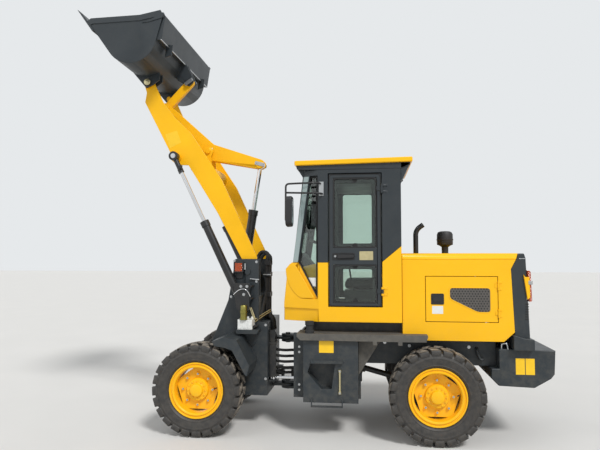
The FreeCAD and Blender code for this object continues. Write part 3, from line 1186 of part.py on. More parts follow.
def platforms():
    tanks = []
    decks = []
    for side, sign in SIDES:
        face = "rail_y + rail_thick / 2"
        low, high = ("-tank_out", "-(%s)" % face) if sign < 0 else (face, "tank_out")
        tank = box("tank_block_" + side, ("tank_front_x", low, "tank_low_z"), ("tank_rear_x", high, "deck_z - 20"))
        pocket = plate("step_pocket_" + side, [("tank_front_x + 72", "step_z"), ("tank_front_x + 42", "step_z - 86"),
                                               ("tank_front_x + 177", "step_z - 240"),
                                               ("tank_front_x + 277", "step_z - 240"),
                                               ("tank_front_x + 312", "step_z")],
                       "260", "%d * tank_out" % sign)
        front, rear = "tank_front_x + 78", "tank_front_x + 388"
        low, high = ("-tank_out - 30", "-tank_out + 2") if sign < 0 else ("tank_out - 2", "tank_out + 30")
        steps = [box("step_tread_" + side, (front, low, "step_z + 8"), (rear, high, "step_z + 34")),
                 box("step_bar_" + side, (front, low, "tank_low_z - 39"), (rear, high, "tank_low_z - 25"))]
        low, high = ("-tank_out - 30", "-tank_out - 18") if sign < 0 else ("tank_out + 18", "tank_out + 30")
        near, far = ("-tank_out - 30", "-tank_out + 2") if sign < 0 else ("tank_out - 2", "tank_out + 30")
        for word, x in (("front", front), ("rear", rear + " - 12")):
            steps.append(box("step_post_%s_%s" % (word, side), (x, low, "tank_low_z - 39"),
                             (x + " + 12", high, "tank_low_z + 40")))
            steps.append(box("step_foot_%s_%s" % (word, side), (x, near, "tank_low_z + 28"),
                             (x + " + 12", far, "tank_low_z + 40")))
        tanks.append(fuse("tank_steps_" + side, [cut("tank_" + side, tank, [pocket])] + steps))
        low, high = ("-deck_half", "-(%s)" % face) if sign < 0 else (face, "deck_half")
        decks.append(box("deck_" + side, ("tank_front_x - 60", low, "deck_z - 20"),
                         ("cab_rear_x", high, "deck_z")))
        for word, x in (("front", "tank_rear_x + 141"), ("rear", "cab_rear_x - 46")):
            decks.append(box("deck_arm_%s_%s" % (word, side), (x, low, "deck_z - 100"),
                             (x + " + 40", high, "deck_z - 20")))
        lip = [("tank_front_x - 60", "deck_z"), ("tank_front_x - 60", "deck_z - 30"),
               ("tank_front_x - 24", "deck_z - deck_lip"), ("side_door_front_x - 4", "deck_z - deck_lip"),
               ("side_door_front_x + 10", "deck_z - 20"), ("side_door_front_x + 10", "deck_z")]
        decks.append(plate("deck_lip_" + side, lip, "8", "%d * (deck_half - 4)" % sign))
        decks.append(plate("deck_gusset_" + side, [("tank_rear_x + 1", "deck_z - 10"), ("tank_rear_x + 1", "608"),
                                                   ("tank_rear_x + 12", "615"), ("tank_rear_x + 212", "932"),
                                                   ("tank_rear_x + 212", "deck_z - 10")],
                           "12", "%d * (tank_out - 90)" % sign))
        low, high = ("-deck_half", "-hood_half - 6") if sign < 0 else ("hood_half + 6", "deck_half")
        decks.append(box("deck_end_" + side, ("cab_rear_x", low, "deck_z - 20"),
                         ("side_door_front_x + 10", high, "deck_z")))
    joined("side_tanks", tanks)
    joined("platforms", decks)


def front_fenders():
    top = [(159, 932), (275, 973), (404, 948), (534, 704), (511, 607)]
    under = [(503, 609), (526, 705), (398, 941), (275, 965), (161, 925)]
    skirt = [(161, 926), (275, 969), (401, 944), (530, 704), (507, 608), (491, 613), (361, 847), (285, 872),
             (185, 885)]
    ahead = size("front_axle_x")
    inner = size("tower_y") + size("tower_thick") / 2
    wide = size("fender_wide")
    made = []
    for side, low in ((-1, -inner - wide), (1, inner)):
        edge = low if side < 0 else low + wide - size("fender_skirt")
        pieces = []
        for outline, start, thick in ((top + under, low, wide), (skirt, edge, size("fender_skirt"))):
            wire = Part.makePolygon([FreeCAD.Vector(ahead + x, start, z) for x, z in outline + outline[:1]])
            pieces.append(Part.Face(wire).extrude(FreeCAD.Vector(0, thick, 0)))
        made.append(pieces[0].fuse(pieces[1]).removeSplitter())
    solid("front_fenders", Part.makeCompound(made))


def shaft(start, stop):
    """A tube between two points of the middle plane, with a flange square to X at each end."""
    flange = 30
    a = FreeCAD.Vector(start[0] + flange / 2, 0, start[1])
    b = FreeCAD.Vector(stop[0] - flange / 2, 0, stop[1])
    ahead = FreeCAD.Vector(1, 0, 0)
    ends = [Part.makeCylinder(46, flange, FreeCAD.Vector(x, 0, z), ahead)
            for x, z in (start, (stop[0] - flange, stop[1]))]
    return Part.makeCylinder(size("shaft_radius"), a.distanceToPoint(b), a, b - a).fuse(ends)


def drive_line():
    joined("transmission", [box("gearbox", ("gearbox_front_x", "-180", "440"), ("gearbox_rear_x", "180", "900")),
                            rod("gearbox_out_rear", "60", "50", ("gearbox_rear_x", "0", "gearbox_out_z"), "x"),
                            rod("gearbox_out_front", "60", "50", ("gearbox_front_x - 50", "0", "shaft_z"), "x")])
    hinge = size("hinge_x")
    low = size("shaft_z")
    axle_z = size("tyre_radius")
    rear_end = size("front_axle_x") + size("wheelbase") - 240
    front_end = size("front_axle_x") + 210
    rows = (((size("gearbox_rear_x") + 50, size("gearbox_out_z")), (rear_end, axle_z)),
            ((hinge + 40, low), (size("gearbox_front_x") - 50, low)))
    solid("drive_shafts", Part.makeCompound([shaft(*row) for row in rows]))
    solid("drive_shaft_front", shaft((front_end, axle_z), (hinge - 40, low)))


def stacks():
    """The exhaust pipe with its bent tip, and the air pre-cleaner on its stem."""
    x = size("exhaust_x")
    low = size("hood_top_z")
    bend = 110
    top = 1990
    angle = math.radians(55)
    corner = FreeCAD.Vector(x, 0, top)
    middle = FreeCAD.Vector(x + bend * (1 - math.cos(angle / 2)), 0, top + bend * math.sin(angle / 2))
    end = FreeCAD.Vector(x + bend * (1 - math.cos(angle)), 0, top + bend * math.sin(angle))
    tip = end + FreeCAD.Vector(math.sin(angle), 0, math.cos(angle)) * 40
    path = Part.Wire([Part.makeLine(FreeCAD.Vector(x, 0, low), corner), Part.Arc(corner, middle, end).toShape(),
                      Part.makeLine(end, tip)])
    ring = Part.Wire(Part.makeCircle(size("exhaust_radius"), FreeCAD.Vector(x, 0, low), FreeCAD.Vector(0, 0, 1)))
    solid("exhaust_pipe", path.makePipeShell([ring], True, False))
    bowl = size("cleaner_radius")
    joined("air_precleaner", [rod("cleaner_stem", "32", "120", ("cleaner_x", "0", "hood_top_z")),
                              rod("cleaner_bowl", "cleaner_radius", "128", ("cleaner_x", "0", "1906"))])


def lamps():
    joined("turn_lamps", lamp_boxes("turn_lamp", TURN_LAMP))
    joined("tail_lamps", lamp_boxes("tail_lamp", TAIL_LAMP))


def tower_fittings():
    joined("hose_sleeve", [box("hose_sleeve_box", ("tower_back_x", "-70", "tower_step_z"),
                               ("tower_back_x + 65", "70", "1690"))])
    joined("valve_block", [box("valve_box", ("tower_back_x - 205", "-tower_y - 95", "1005"),
                               ("tower_back_x - 53", "-tower_y - 10", "1098"))])


hood()
grille()
counterweight()
platforms()
front_fenders()
drive_line()
stacks()
lamps()
tower_fittings()

doc.recompute()
for thing in doc.Objects:
    if "Invalid" in thing.State or "Error" in thing.State:
        raise RuntimeError("%s (%s) is %s" % (thing.Name, thing.Label, thing.State))
os.makedirs("parts", exist_ok=True)
for thing in NODES:
    shape = thing.Shape
    if shape.isNull() or not shape.isValid():
        raise RuntimeError("%s has no valid shape" % thing.Label)
    shape.exportStep("parts/%s.step" % thing.Label)
print(len(NODES), "nodes")
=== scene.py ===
"""The look of a small articulated wheel loader: finishes for its solids, and the pieces too fine for them.

Metres, +Z up, the front towards -X, the left side towards -Y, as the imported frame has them."""
import json
import math

import bmesh
import bpy
from mathutils import Matrix, Vector


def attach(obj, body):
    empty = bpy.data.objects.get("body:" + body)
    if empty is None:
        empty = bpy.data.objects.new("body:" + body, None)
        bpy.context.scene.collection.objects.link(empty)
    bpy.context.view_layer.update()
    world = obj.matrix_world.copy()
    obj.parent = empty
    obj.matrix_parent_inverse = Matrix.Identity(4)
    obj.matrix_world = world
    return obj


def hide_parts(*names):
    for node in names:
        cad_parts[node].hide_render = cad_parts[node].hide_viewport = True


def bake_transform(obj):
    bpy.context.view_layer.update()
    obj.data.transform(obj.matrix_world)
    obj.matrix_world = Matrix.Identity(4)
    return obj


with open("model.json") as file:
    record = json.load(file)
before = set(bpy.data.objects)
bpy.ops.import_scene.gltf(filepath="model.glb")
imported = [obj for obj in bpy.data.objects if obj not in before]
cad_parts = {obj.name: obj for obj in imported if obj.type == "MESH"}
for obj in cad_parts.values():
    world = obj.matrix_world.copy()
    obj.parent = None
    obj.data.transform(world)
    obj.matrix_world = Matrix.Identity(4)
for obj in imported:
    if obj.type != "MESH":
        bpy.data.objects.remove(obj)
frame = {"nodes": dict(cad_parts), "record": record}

bl_info = {
    "name": "Small wheel loader",
    "version": (1, 0, 0),
    "blender": (4, 5, 0),
    "location": "View3D > Sidebar > Loader",
    "description": "Builds the visible pieces and finishes of a small articulated wheel loader",
    "category": "Object",
}

SIDES = (("left", -1), ("right", 1))
BODY_OF = {node: body for body, nodes in frame["record"]["behaviour"]["bodies"].items() for node in nodes}

# Places taken from the solids, in metres
FRONT_AXLE = -1.081
REAR_AXLE = 1.235
WHEEL_MIDDLE = 0.6475
WHEEL_RADIUS = 0.45
BOOM_PIVOT = Vector((-0.651, 0, 1.6))
BOOM_RAISE = math.radians(61.3)
BOOM_LENGTH = 2.354
BUCKET_ROLL = math.radians(54.6)
CRANK_HUB = (-1.18, 2.9452)
# From the boom's own axes, with X along it, and from the bucket's own axes, to the machine's
ON_BOOM = Matrix.Translation(BOOM_PIVOT) @ Matrix.Rotation(BOOM_RAISE, 4, "Y")
ON_BUCKET = Matrix.Translation(ON_BOOM @ Vector((-BOOM_LENGTH, 0, 0))) @ Matrix.Rotation(BUCKET_ROLL, 4, "Y")
UP = (0, 0, 1)
# Dust on the machine and on the tops of its lugs
ROAD_DUST = "#9A917F"
LUG_DUST = "#9D9283"


def linear(code):
    """An sRGB hex colour as the linear values that the shaders take."""
    values = [int(code[i:i + 2], 16) / 255 for i in (1, 3, 5)]
    return tuple(v / 12.92 if v <= 0.04045 else ((v + 0.055) / 1.055) ** 2.4 for v in values)


def colour(name, description, code):
    return bpy.props.FloatVectorProperty(name=name, description=description, subtype="COLOR", size=3,
                                         min=0, max=1, default=linear(code))


def length(name, description, low, high, usual):
    return bpy.props.FloatProperty(name=name, description=description, unit="LENGTH",
                                   min=low, max=high, default=usual)


def number(name, description, low, high, usual):
    return bpy.props.IntProperty(name=name, description=description, min=low, max=high, default=usual)


class LOADER_PG_colours(bpy.types.PropertyGroup):
    """Colours that a user would change."""
    yellow: colour("Yellow", "Enamel of the boom, hood and cab", "#F6B90F")
    grey: colour("Slate grey", "Enamel of the frames and bucket", "#2B3135")
    black: colour("Black", "Enamel of the cylinders", "#1B1C1E")
    rubber: colour("Rubber", "Tyres", "#2C2B2A")
    tint: colour("Glass tint", "Tint of the cab's panes", "#D3E3DA")
    floor: colour("Floor", "Floor", "#D5D3CF")


class LOADER_PG_sizes(bpy.types.PropertyGroup):
    """Sizes that a user would change."""
    edge: length("Plate edge", "Rounding of welded plate edges", 0.001, 0.01, 0.003)
    lugs: number("Tread lugs", "Lugs round each side of a tyre", 12, 36, 24)
    wheel_nuts: number("Wheel nuts", "Nuts that hold a wheel", 4, 12, 8)
    seal: length("Window band", "Black band round the door's panes", 0.01, 0.1, 0.045)
    hole_pitch: length("Mesh pitch", "Between holes of the side grille", 0.01, 0.05, 0.027)
    hose: length("Hose radius", "Outside radius of the hoses from the valve bank", 0.005, 0.02, 0.011)


def add(tree, kind, inputs=None, **settings):
    """Adds one node with its settings, and sets or links its inputs."""
    made = tree.nodes.new(kind)
    for name, value in settings.items():
        setattr(made, name, value)
    for name, value in (inputs or {}).items():
        if isinstance(value, bpy.types.NodeSocket):
            tree.links.new(value, made.inputs[name])
        else:
            made.inputs[name].default_value = value
    return made


# Finishes

# Each finish's slot in the record. A solid gets the first finish that has its slot
SLOTS = {
    "yellow_enamel": "yellow_paint", "arm_enamel": "yellow_paint", "slate_enamel": "grey_paint",
    "black_enamel": "black_paint", "hard_chrome": "chrome", "cast_iron": "cast_grey",
    "tyre_rubber_front": "tyre_rubber", "tyre_rubber_rear": "tyre_rubber", "tinted_glass": "glass",
    "grained_vinyl": "black_vinyl", "moulded_plastic": "black_plastic", "black_rubber": "black_rubber",
    "amber_lens": "amber_lens", "red_lens": "red_lens", "zinc_plate": "brushed_steel",
    "yellow_zinc": "brushed_steel", "white_label": "brushed_steel", "perforated_steel": "grey_paint",
    "cast_aluminium": "brushed_steel", "olive_zinc": "brushed_steel", "worn_enamel": "grey_paint",
    "orange_lens": "red_lens", "bonded_glass": "glass",
}


def blank(name):
    """A material's empty tree with its shader, and the place of each point in the machine."""
    material = bpy.data.materials.new(name)
    material.use_nodes = True
    tree = material.node_tree
    tree.nodes.clear()
    shader = add(tree, "ShaderNodeBsdfPrincipled")
    add(tree, "ShaderNodeOutputMaterial", {"Surface": shader.outputs[0]})
    place = add(tree, "ShaderNodeTexCoord").outputs["Object"]
    return tree, shader, place


def surface(name, colour, roughness, grain, depth, mottle, shift, dust=0.0, **on_shader):
    """A coated or moulded surface. grain and depth are its texture's spacing and height, and mottle the size
    of its patches, all in millimetres; shift is how far the patches differ; dust settles towards the ground."""
    tree, shader, place = blank(name)
    patches = add(tree, "ShaderNodeTexNoise", {"Vector": place, "Scale": 1000 / mottle, "Detail": 5.0})
    spread = add(tree, "ShaderNodeMapRange", {"Value": patches.outputs["Fac"], "From Min": 0.3, "From Max": 0.7,
                                              "To Min": 1 - shift, "To Max": 1 + shift})
    tone = add(tree, "ShaderNodeHueSaturation", {"Color": (*colour, 1), "Value": spread.outputs[0]})
    paint = tone.outputs[0]
    if dust:
        height = add(tree, "ShaderNodeSeparateXYZ", {"Vector": place})
        low = add(tree, "ShaderNodeMapRange", {"Value": height.outputs["Z"], "From Min": 1.4, "From Max": 0.0,
                                               "To Min": 0.1, "To Max": 1.0})
        fine = add(tree, "ShaderNodeTexNoise", {"Vector": place, "Scale": 14.0, "Detail": 8.0,
                                                  "Roughness": 0.7})
        speck = add(tree, "ShaderNodeMapRange", {"Value": fine.outputs["Fac"], "From Min": 0.42,
                                                 "From Max": 0.75, "To Max": dust})
        amount = add(tree, "ShaderNodeMath", {0: low.outputs[0], 1: speck.outputs[0]}, operation="MULTIPLY")
        mixed = add(tree, "ShaderNodeMix", {0: amount.outputs[0], 6: paint, 7: (*linear(ROAD_DUST), 1)},
                    data_type="RGBA")
        paint = mixed.outputs[2]
    tree.links.new(paint, shader.inputs["Base Color"])
    sheen = add(tree, "ShaderNodeMapRange", {"Value": patches.outputs["Fac"], "From Min": 0.25,
                                             "From Max": 0.75, "To Min": roughness * 0.85,
                                             "To Max": roughness * 1.2})
    tree.links.new(sheen.outputs[0], shader.inputs["Roughness"])
    ripple = add(tree, "ShaderNodeTexNoise", {"Vector": place, "Scale": 1000 / grain, "Detail": 2.0})
    bump = add(tree, "ShaderNodeBump", {"Height": ripple.outputs["Fac"], "Distance": depth / 1000,
                                        "Strength": 1.0})
    tree.links.new(bump.outputs[0], shader.inputs["Normal"])
    for socket, value in on_shader.items():
        shader.inputs[socket.replace("_", " ")].default_value = value
    return tree, shader


def tyre_rubber(name, colour, axle):
    """Black rubber, dull on the walls, with pale road dust caught on the tops of its lugs."""
    tree, shader, place = blank(name)
    centred = add(tree, "ShaderNodeMapping", {"Vector": place, "Location": (-axle, 0, -WHEEL_RADIUS)})
    apart = add(tree, "ShaderNodeSeparateXYZ", {"Vector": centred.outputs[0]})
    flat = add(tree, "ShaderNodeCombineXYZ", {"X": apart.outputs["X"], "Z": apart.outputs["Z"]})
    radius = add(tree, "ShaderNodeVectorMath", {0: flat.outputs[0]}, operation="LENGTH")
    top = add(tree, "ShaderNodeMapRange", {"Value": radius.outputs["Value"], "From Min": 0.438,
                                           "From Max": 0.447, "To Min": 0.08, "To Max": 0.95})
    dirt = add(tree, "ShaderNodeTexNoise", {"Vector": place, "Scale": 22.0, "Detail": 7.0, "Roughness": 0.65})
    speck = add(tree, "ShaderNodeMapRange", {"Value": dirt.outputs["Fac"], "From Min": 0.35, "From Max": 0.62})
    amount = add(tree, "ShaderNodeMath", {0: top.outputs[0], 1: speck.outputs[0]}, operation="MULTIPLY")
    mixed = add(tree, "ShaderNodeMix", {0: amount.outputs[0], 6: (*colour, 1), 7: (*linear(LUG_DUST), 1)},
                data_type="RGBA")
    tree.links.new(mixed.outputs[2], shader.inputs["Base Color"])
    rough = add(tree, "ShaderNodeMapRange", {"Value": amount.outputs[0], "To Min": 0.52, "To Max": 0.95})
    tree.links.new(rough.outputs[0], shader.inputs["Roughness"])
    # Moulded skin of about 2 mm, drawn coarser than the real one so that it shows
    skin = add(tree, "ShaderNodeTexNoise", {"Vector": place, "Scale": 450.0, "Detail": 3.0})
    bump = add(tree, "ShaderNodeBump", {"Height": skin.outputs["Fac"], "Distance": 0.0006})
    tree.links.new(bump.outputs[0], shader.inputs["Normal"])


def metal(name, colour, roughness, grain):
    """Bare, plated or polished metal: a fine directionless wear in its gloss."""
    tree, shader, place = blank(name)
    shader.inputs["Metallic"].default_value = 1.0
    wear = add(tree, "ShaderNodeTexNoise", {"Vector": place, "Scale": 1000 / grain, "Detail": 6.0})
    shine = add(tree, "ShaderNodeMapRange", {"Value": wear.outputs["Fac"], "To Min": roughness * 0.6,
                                             "To Max": roughness * 1.5})
    tone = add(tree, "ShaderNodeMapRange", {"Value": wear.outputs["Fac"], "To Min": 0.85, "To Max": 1.12})
    tinted = add(tree, "ShaderNodeHueSaturation", {"Color": (*colour, 1), "Value": tone.outputs[0]})
    tree.links.new(shine.outputs[0], shader.inputs["Roughness"])
    tree.links.new(tinted.outputs[0], shader.inputs["Base Color"])


def clear(name, colour, roughness, ribs=0.0):
    """A clear pane, or a moulded lens whose ribs scatter the light, each this many millimetres wide."""
    tree, shader, place = blank(name)
    haze = add(tree, "ShaderNodeTexNoise", {"Vector": place, "Scale": 6.0, "Detail": 6.0})
    smear = add(tree, "ShaderNodeMapRange", {"Value": haze.outputs["Fac"], "From Min": 0.35, "From Max": 0.8,
                                             "To Min": roughness * 0.5, "To Max": roughness * 2})
    tree.links.new(smear.outputs[0], shader.inputs["Roughness"])
    shader.inputs["Base Color"].default_value = (*colour, 1)
    shader.inputs["Transmission Weight"].default_value = 1.0
    shader.inputs["IOR"].default_value = 1.5
    if ribs:
        shader.inputs["Transmission Weight"].default_value = 0.35
        # At scale 1 a stripe of this pattern is 1 / 6.3 m wide
        stripes = add(tree, "ShaderNodeTexWave", {"Vector": place, "Scale": 1000 / ribs / 6.3},
                      bands_direction="Z")
        bump = add(tree, "ShaderNodeBump", {"Height": stripes.outputs["Fac"], "Distance": 0.002})
        tree.links.new(bump.outputs[0], shader.inputs["Normal"])


def vinyl(name, colour):
    """Embossed seat vinyl: cells of about 3 mm with soft valleys between."""
    tree, shader, place = blank(name)
    shader.inputs["Base Color"].default_value = (*colour, 1)
    cells = add(tree, "ShaderNodeTexVoronoi", {"Vector": place, "Scale": 330.0}, feature="SMOOTH_F1")
    bump = add(tree, "ShaderNodeBump", {"Height": cells.outputs["Distance"], "Distance": 0.0008})
    tree.links.new(bump.outputs[0], shader.inputs["Normal"])
    shine = add(tree, "ShaderNodeMapRange", {"Value": cells.outputs["Distance"], "To Min": 0.42,
                                             "To Max": 0.65})
    tree.links.new(shine.outputs[0], shader.inputs["Roughness"])


class LOADER_OT_finishes(bpy.types.Operator):
    """Makes every finish and gives one to each solid"""
    bl_idname = "loader.finishes"
    bl_label = "Finishes"

    def execute(self, context):
        colours = context.scene.loader_colours
        # Sprayed gloss enamel: a little orange peel, a soft clear reflection
        surface("yellow_enamel", colours.yellow, 0.36, 6, 0.05, 350, 0.03, dust=0.12,
                Specular_IOR_Level=0.28, Coat_Weight=0.1, Coat_Roughness=0.15)
        # The arms' coat: the same enamel, duller from weather
        surface("arm_enamel", colours.yellow, 0.42, 6, 0.06, 300, 0.05, dust=0.16, Specular_IOR_Level=0.26)
        # The same enamel on heavier plate, satin, with dust lying in it
        surface("slate_enamel", colours.grey, 0.42, 7, 0.06, 260, 0.05, dust=0.22, Specular_IOR_Level=0.4)
        # Where boots and dust have dulled it to a warm grey
        surface("worn_enamel", linear("#55534F"), 0.6, 6, 0.08, 140, 0.1, dust=0.55, Specular_IOR_Level=0.3)
        surface("black_enamel", colours.black, 0.36, 6, 0.05, 200, 0.12, dust=0.3)
        # Sand-cast iron under one coat of dark paint: a coarse dull skin
        surface("cast_iron", linear("#34383B"), 0.62, 4, 0.35, 120, 0.14, dust=0.7)
        # Injection-moulded plastic with a fine spark-eroded grain
        surface("moulded_plastic", linear("#1D1D1F"), 0.5, 2.5, 0.08, 150, 0.08, dust=0.15)
        # Extruded rubber: matt, a trace of bloom
        surface("black_rubber", linear("#191919"), 0.68, 3, 0.06, 90, 0.16, dust=0.25)
        # Punched sheet steel, painted grey-brown and dusty
        surface("perforated_steel", linear("#54504C"), 0.55, 5, 0.05, 60, 0.12, dust=0.4)
        # Self-adhesive vinyl and a faded foil plate, all left blank
        surface("white_label", linear("#DEDFDB"), 0.4, 8, 0.01, 60, 0.03)
        surface("yellow_label", linear("#F2C21C"), 0.4, 8, 0.01, 60, 0.03)
        surface("beige_label", linear("#B9AE84"), 0.35, 8, 0.01, 40, 0.1, Metallic=0.3)
        # Tinted glass bonded over a painted post: its cool pale grey colour is a painted reflection of the sky
        surface("bonded_glass", linear("#8C9C9B"), 0.1, 30, 0.01, 400, 0.06, Coat_Weight=0.6)
        for name, axle in (("tyre_rubber_front", FRONT_AXLE), ("tyre_rubber_rear", REAR_AXLE)):
            tyre_rubber(name, colours.rubber, axle)
        # Sand-cast aluminium, chalky with a thin oxide
        surface("cast_aluminium", linear("#DEDFDC"), 0.5, 3, 0.15, 25, 0.1, Metallic=0.15)
        # Ground and polished hard chrome; bright zinc; zinc passivated yellow and olive
        metal("hard_chrome", linear("#DADBDD"), 0.12, 8)
        metal("zinc_plate", linear("#B9BBBC"), 0.32, 5)
        metal("yellow_zinc", linear("#CBC19A"), 0.42, 6)
        metal("olive_zinc", linear("#8C8549"), 0.4, 6)
        clear("tinted_glass", colours.tint, 0.02)
        clear("amber_lens", linear("#DE7A1E"), 0.12, 6)
        clear("red_lens", linear("#D6381C"), 0.12, 6)
        clear("orange_lens", linear("#C4501F"), 0.12, 6)
        vinyl("grained_vinyl", linear("#262627"))
        finish_of = {slot: finish for finish, slot in reversed(list(SLOTS.items()))}
        slots = {part["node"]: part.get("material_slot") for part in frame["record"]["subparts"]
                 if "node" in part}
        for node, solid in frame["nodes"].items():
            finish = finish_of.get(slots.get(node), "slate_enamel")
            if node.startswith("tyre_rear"):
                finish = "tyre_rubber_rear"
            solid.data.materials.clear()
            solid.data.materials.append(bpy.data.materials[finish])
        return {"FINISHED"}


# Drawing in a mesh

def block(bm, low, high, place=Matrix()):
    """A box between two corners."""
    for vertex in bmesh.ops.create_cube(bm, size=1.0)["verts"]:
        vertex.co = place @ Vector(low[i] + (vertex.co[i] + 0.5) * (high[i] - low[i]) for i in range(3))


def loft(bm, near, far):
    """A solid between two rings of as many points."""
    near = [bm.verts.new(point) for point in near]
    far = [bm.verts.new(point) for point in far]
    bm.faces.new(near)
    bm.faces.new(far[::-1])
    for i in range(len(near)):
        j = (i + 1) % len(near)
        bm.faces.new((near[j], near[i], far[i], far[j]))


def slab(bm, outline, low, high, place=Matrix()):
    """A flat outline of (x, z) corners, thick from y = low to y = high."""
    loft(bm, *([place @ Vector((x, y, z)) for x, z in outline] for y in (low, high)))


def border(bm, outer, inner, low, high, place=Matrix()):
    """The strip between two outlines of as many corners, thick from y = low to y = high."""
    rings = [[bm.verts.new(place @ Vector((x, y, z))) for x, z in outline]
             for outline, y in ((outer, low), (inner, low), (inner, high), (outer, high))]
    for ring, after in zip(rings, rings[1:] + rings[:1]):
        for i in range(len(ring)):
            j = (i + 1) % len(ring)
            bm.faces.new((ring[i], ring[j], after[j], after[i]))


def rounded_corners(corners, radius, steps=5):
    """An outline with each of its corners turned into an arc of about this radius."""
    out = []
    for i, corner in enumerate(corners):
        here = Vector(corner)
        before = Vector(corners[i - 1])
        after = Vector(corners[(i + 1) % len(corners)])
        start = here + (before - here).normalized() * radius
        stop = here + (after - here).normalized() * radius
        for step in range(steps + 1):
            t = step / steps
            out.append(tuple(start * (1 - t) ** 2 + here * 2 * t * (1 - t) + stop * t ** 2))
    return out


def inset(low, high, by, radius):
    """The rectangle between two corners (x, z), moved in by a distance and with round corners."""
    (x0, z0), (x1, z1) = (low[0] + by, low[1] + by), (high[0] - by, high[1] - by)
    return rounded_corners([(x0, z0), (x1, z0), (x1, z1), (x0, z1)], radius)


def on_side(sign, near, far):
    """Two distances from the machine's middle as y on one side of it, the lower first."""
    return sorted((sign * near, sign * far))


def plate(bm, sign, outline, near, far, place=Matrix()):
    """A flat outline of (x, z) corners on one side, between two distances from the middle."""
    slab(bm, outline, *on_side(sign, near, far), place)


def box(bm, sign, low, high, near, far):
    """A box on one side between two corners (x, z) and two distances from the middle."""
    left, right = on_side(sign, near, far)
    block(bm, (low[0], left, low[1]), (high[0], right, high[1]))


def hoop(bm, sign, low, high, outer, inner, near, far):
    """A rectangular frame on one side: its outer and inner rim are each (moved in by, corner radius)."""
    border(bm, inset(low, high, *outer), inset(low, high, *inner), *on_side(sign, near, far))


def turned(bm, profile, centre, axis=(0, 1, 0), steps=32, closed=False):
    """A profile of (radius, distance along) points turned about an axis through a point."""
    along = Vector(axis).normalized()
    side = along.orthogonal().normalized()
    up = along.cross(side)
    rings = []
    for radius, reach in profile:
        hub = Vector(centre) + along * reach
        count = steps if radius > 1e-6 else 1
        rings.append([bm.verts.new(hub + (side * math.cos(math.tau * i / steps)
                                          + up * math.sin(math.tau * i / steps)) * radius)
                      for i in range(count)])
    pairs = list(zip(rings, rings[1:])) + ([(rings[-1], rings[0])] if closed else [])
    for ring, after in pairs:
        for i in range(steps):
            j = (i + 1) % steps
            corners = [ring[i % len(ring)], ring[j % len(ring)], after[j % len(after)], after[i % len(after)]]
            corners = [c for k, c in enumerate(corners) if c is not corners[k - 1]]
            if len(corners) > 2:
                bm.faces.new(corners)


def filled(name, bm):
    """What was drawn, as a mesh."""
    mesh = bpy.data.meshes.new(name)
    bm.to_mesh(mesh)
    bm.free()
    return mesh


def smoothed(mesh, angle=35):
    """Shades a mesh smooth where its faces meet at less than the angle in degrees."""
    mesh.polygons.foreach_set("use_smooth", [True] * len(mesh.polygons))
    mesh.set_sharp_from_angle(angle=math.radians(angle))


def dressed(mesh, finish, angle=35):
    """Shades a mesh smooth and gives it its one finish."""
    smoothed(mesh, angle)
    mesh.materials.clear()
    mesh.materials.append(bpy.data.materials[finish])
    return mesh


def placed(name, mesh):
    """An object of this mesh in the scene."""
    thing = bpy.data.objects.new(name, mesh)
    bpy.context.scene.collection.objects.link(thing)
    return thing


def settled(thing):
    """Bakes the object's modifiers into its mesh."""
    graph = bpy.context.evaluated_depsgraph_get()
    baked = bpy.data.meshes.new_from_object(thing.evaluated_get(graph))
    thing.modifiers.clear()
    thing.data = baked
    return thing


def hung(thing, body, replaced=()):
    """Fastens a finished piece to its body and hides the solids it stands for."""
    if replaced:
        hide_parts(*replaced)
    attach(thing, body)
    return thing


def bevelled(thing, width, segments, **limits):
    """Rounds an object's edges and bakes that into its mesh."""
    bevel = thing.modifiers.new("edge", "BEVEL")
    for name, value in {"width": width, "segments": segments, "harden_normals": True, **limits}.items():
        setattr(bevel, name, value)
    return settled(thing)


def piece(name, body, finish, draw, edge=0.0, segments=2, replaced=(), ride=True):
    """A mesh drawn by draw(bm) in the machine's own place, its sharp edges rounded."""
    bm = bmesh.new()
    draw(bm)
    bmesh.ops.recalc_face_normals(bm, faces=bm.faces)
    thing = placed(name, dressed(filled(name, bm), finish))
    if edge:
        bevelled(thing, edge, segments, limit_method="ANGLE", angle_limit=math.radians(34),
                 use_clamp_overlap=True)
    return hung(thing, body, replaced) if ride else thing


def rounded(node, finish, width, segments):
    """A copy of a solid's mesh with its long sharp edges rounded, as cut and pressed plate has them."""
    bm = bmesh.new()
    bm.from_mesh(frame["nodes"][node].data)
    bmesh.ops.remove_doubles(bm, verts=bm.verts, dist=2e-5)
    bmesh.ops.dissolve_limit(bm, angle_limit=math.radians(0.8), verts=bm.verts, edges=bm.edges)
    weight = bm.edges.layers.float.new("bevel_weight_edge")
    for edge in bm.edges:
        if len(edge.link_faces) == 2 and edge.calc_face_angle(0) > math.radians(30) \
                and edge.calc_length() > 3 * width:
            edge[weight] = 1.0
    name = node + "_shell"
    thing = placed(name, dressed(filled(name, bm), finish, 30))
    bevelled(thing, width, segments, limit_method="WEIGHT", use_clamp_overlap=False)
    return hung(thing, BODY_OF[node], (node,))


def both(name, body, finish, draw, replaced=(), **how):
    """A piece on each side, drawn by draw(bm, sign); {} in its body's name stands for the side. The left one
    says which solids the pair replaces."""
    for side, sign in SIDES:
        piece("%s_%s" % (name, side), body.format(side), finish, lambda bm: draw(bm, sign),
              replaced=replaced if side == "left" else (), **how)


# What repeats

def tree_with(name, inputs):
    """An empty tree of Geometry Nodes with a mesh in, a mesh out and named inputs between."""
    tree = bpy.data.node_groups.new(name, "GeometryNodeTree")
    tree.interface.new_socket("Geometry", in_out="INPUT", socket_type="NodeSocketGeometry")
    tree.interface.new_socket("Geometry", in_out="OUTPUT", socket_type="NodeSocketGeometry")
    for label, kind in inputs:
        tree.interface.new_socket(label, in_out="INPUT", socket_type="NodeSocket" + kind)
    return tree, add(tree, "NodeGroupInput").outputs


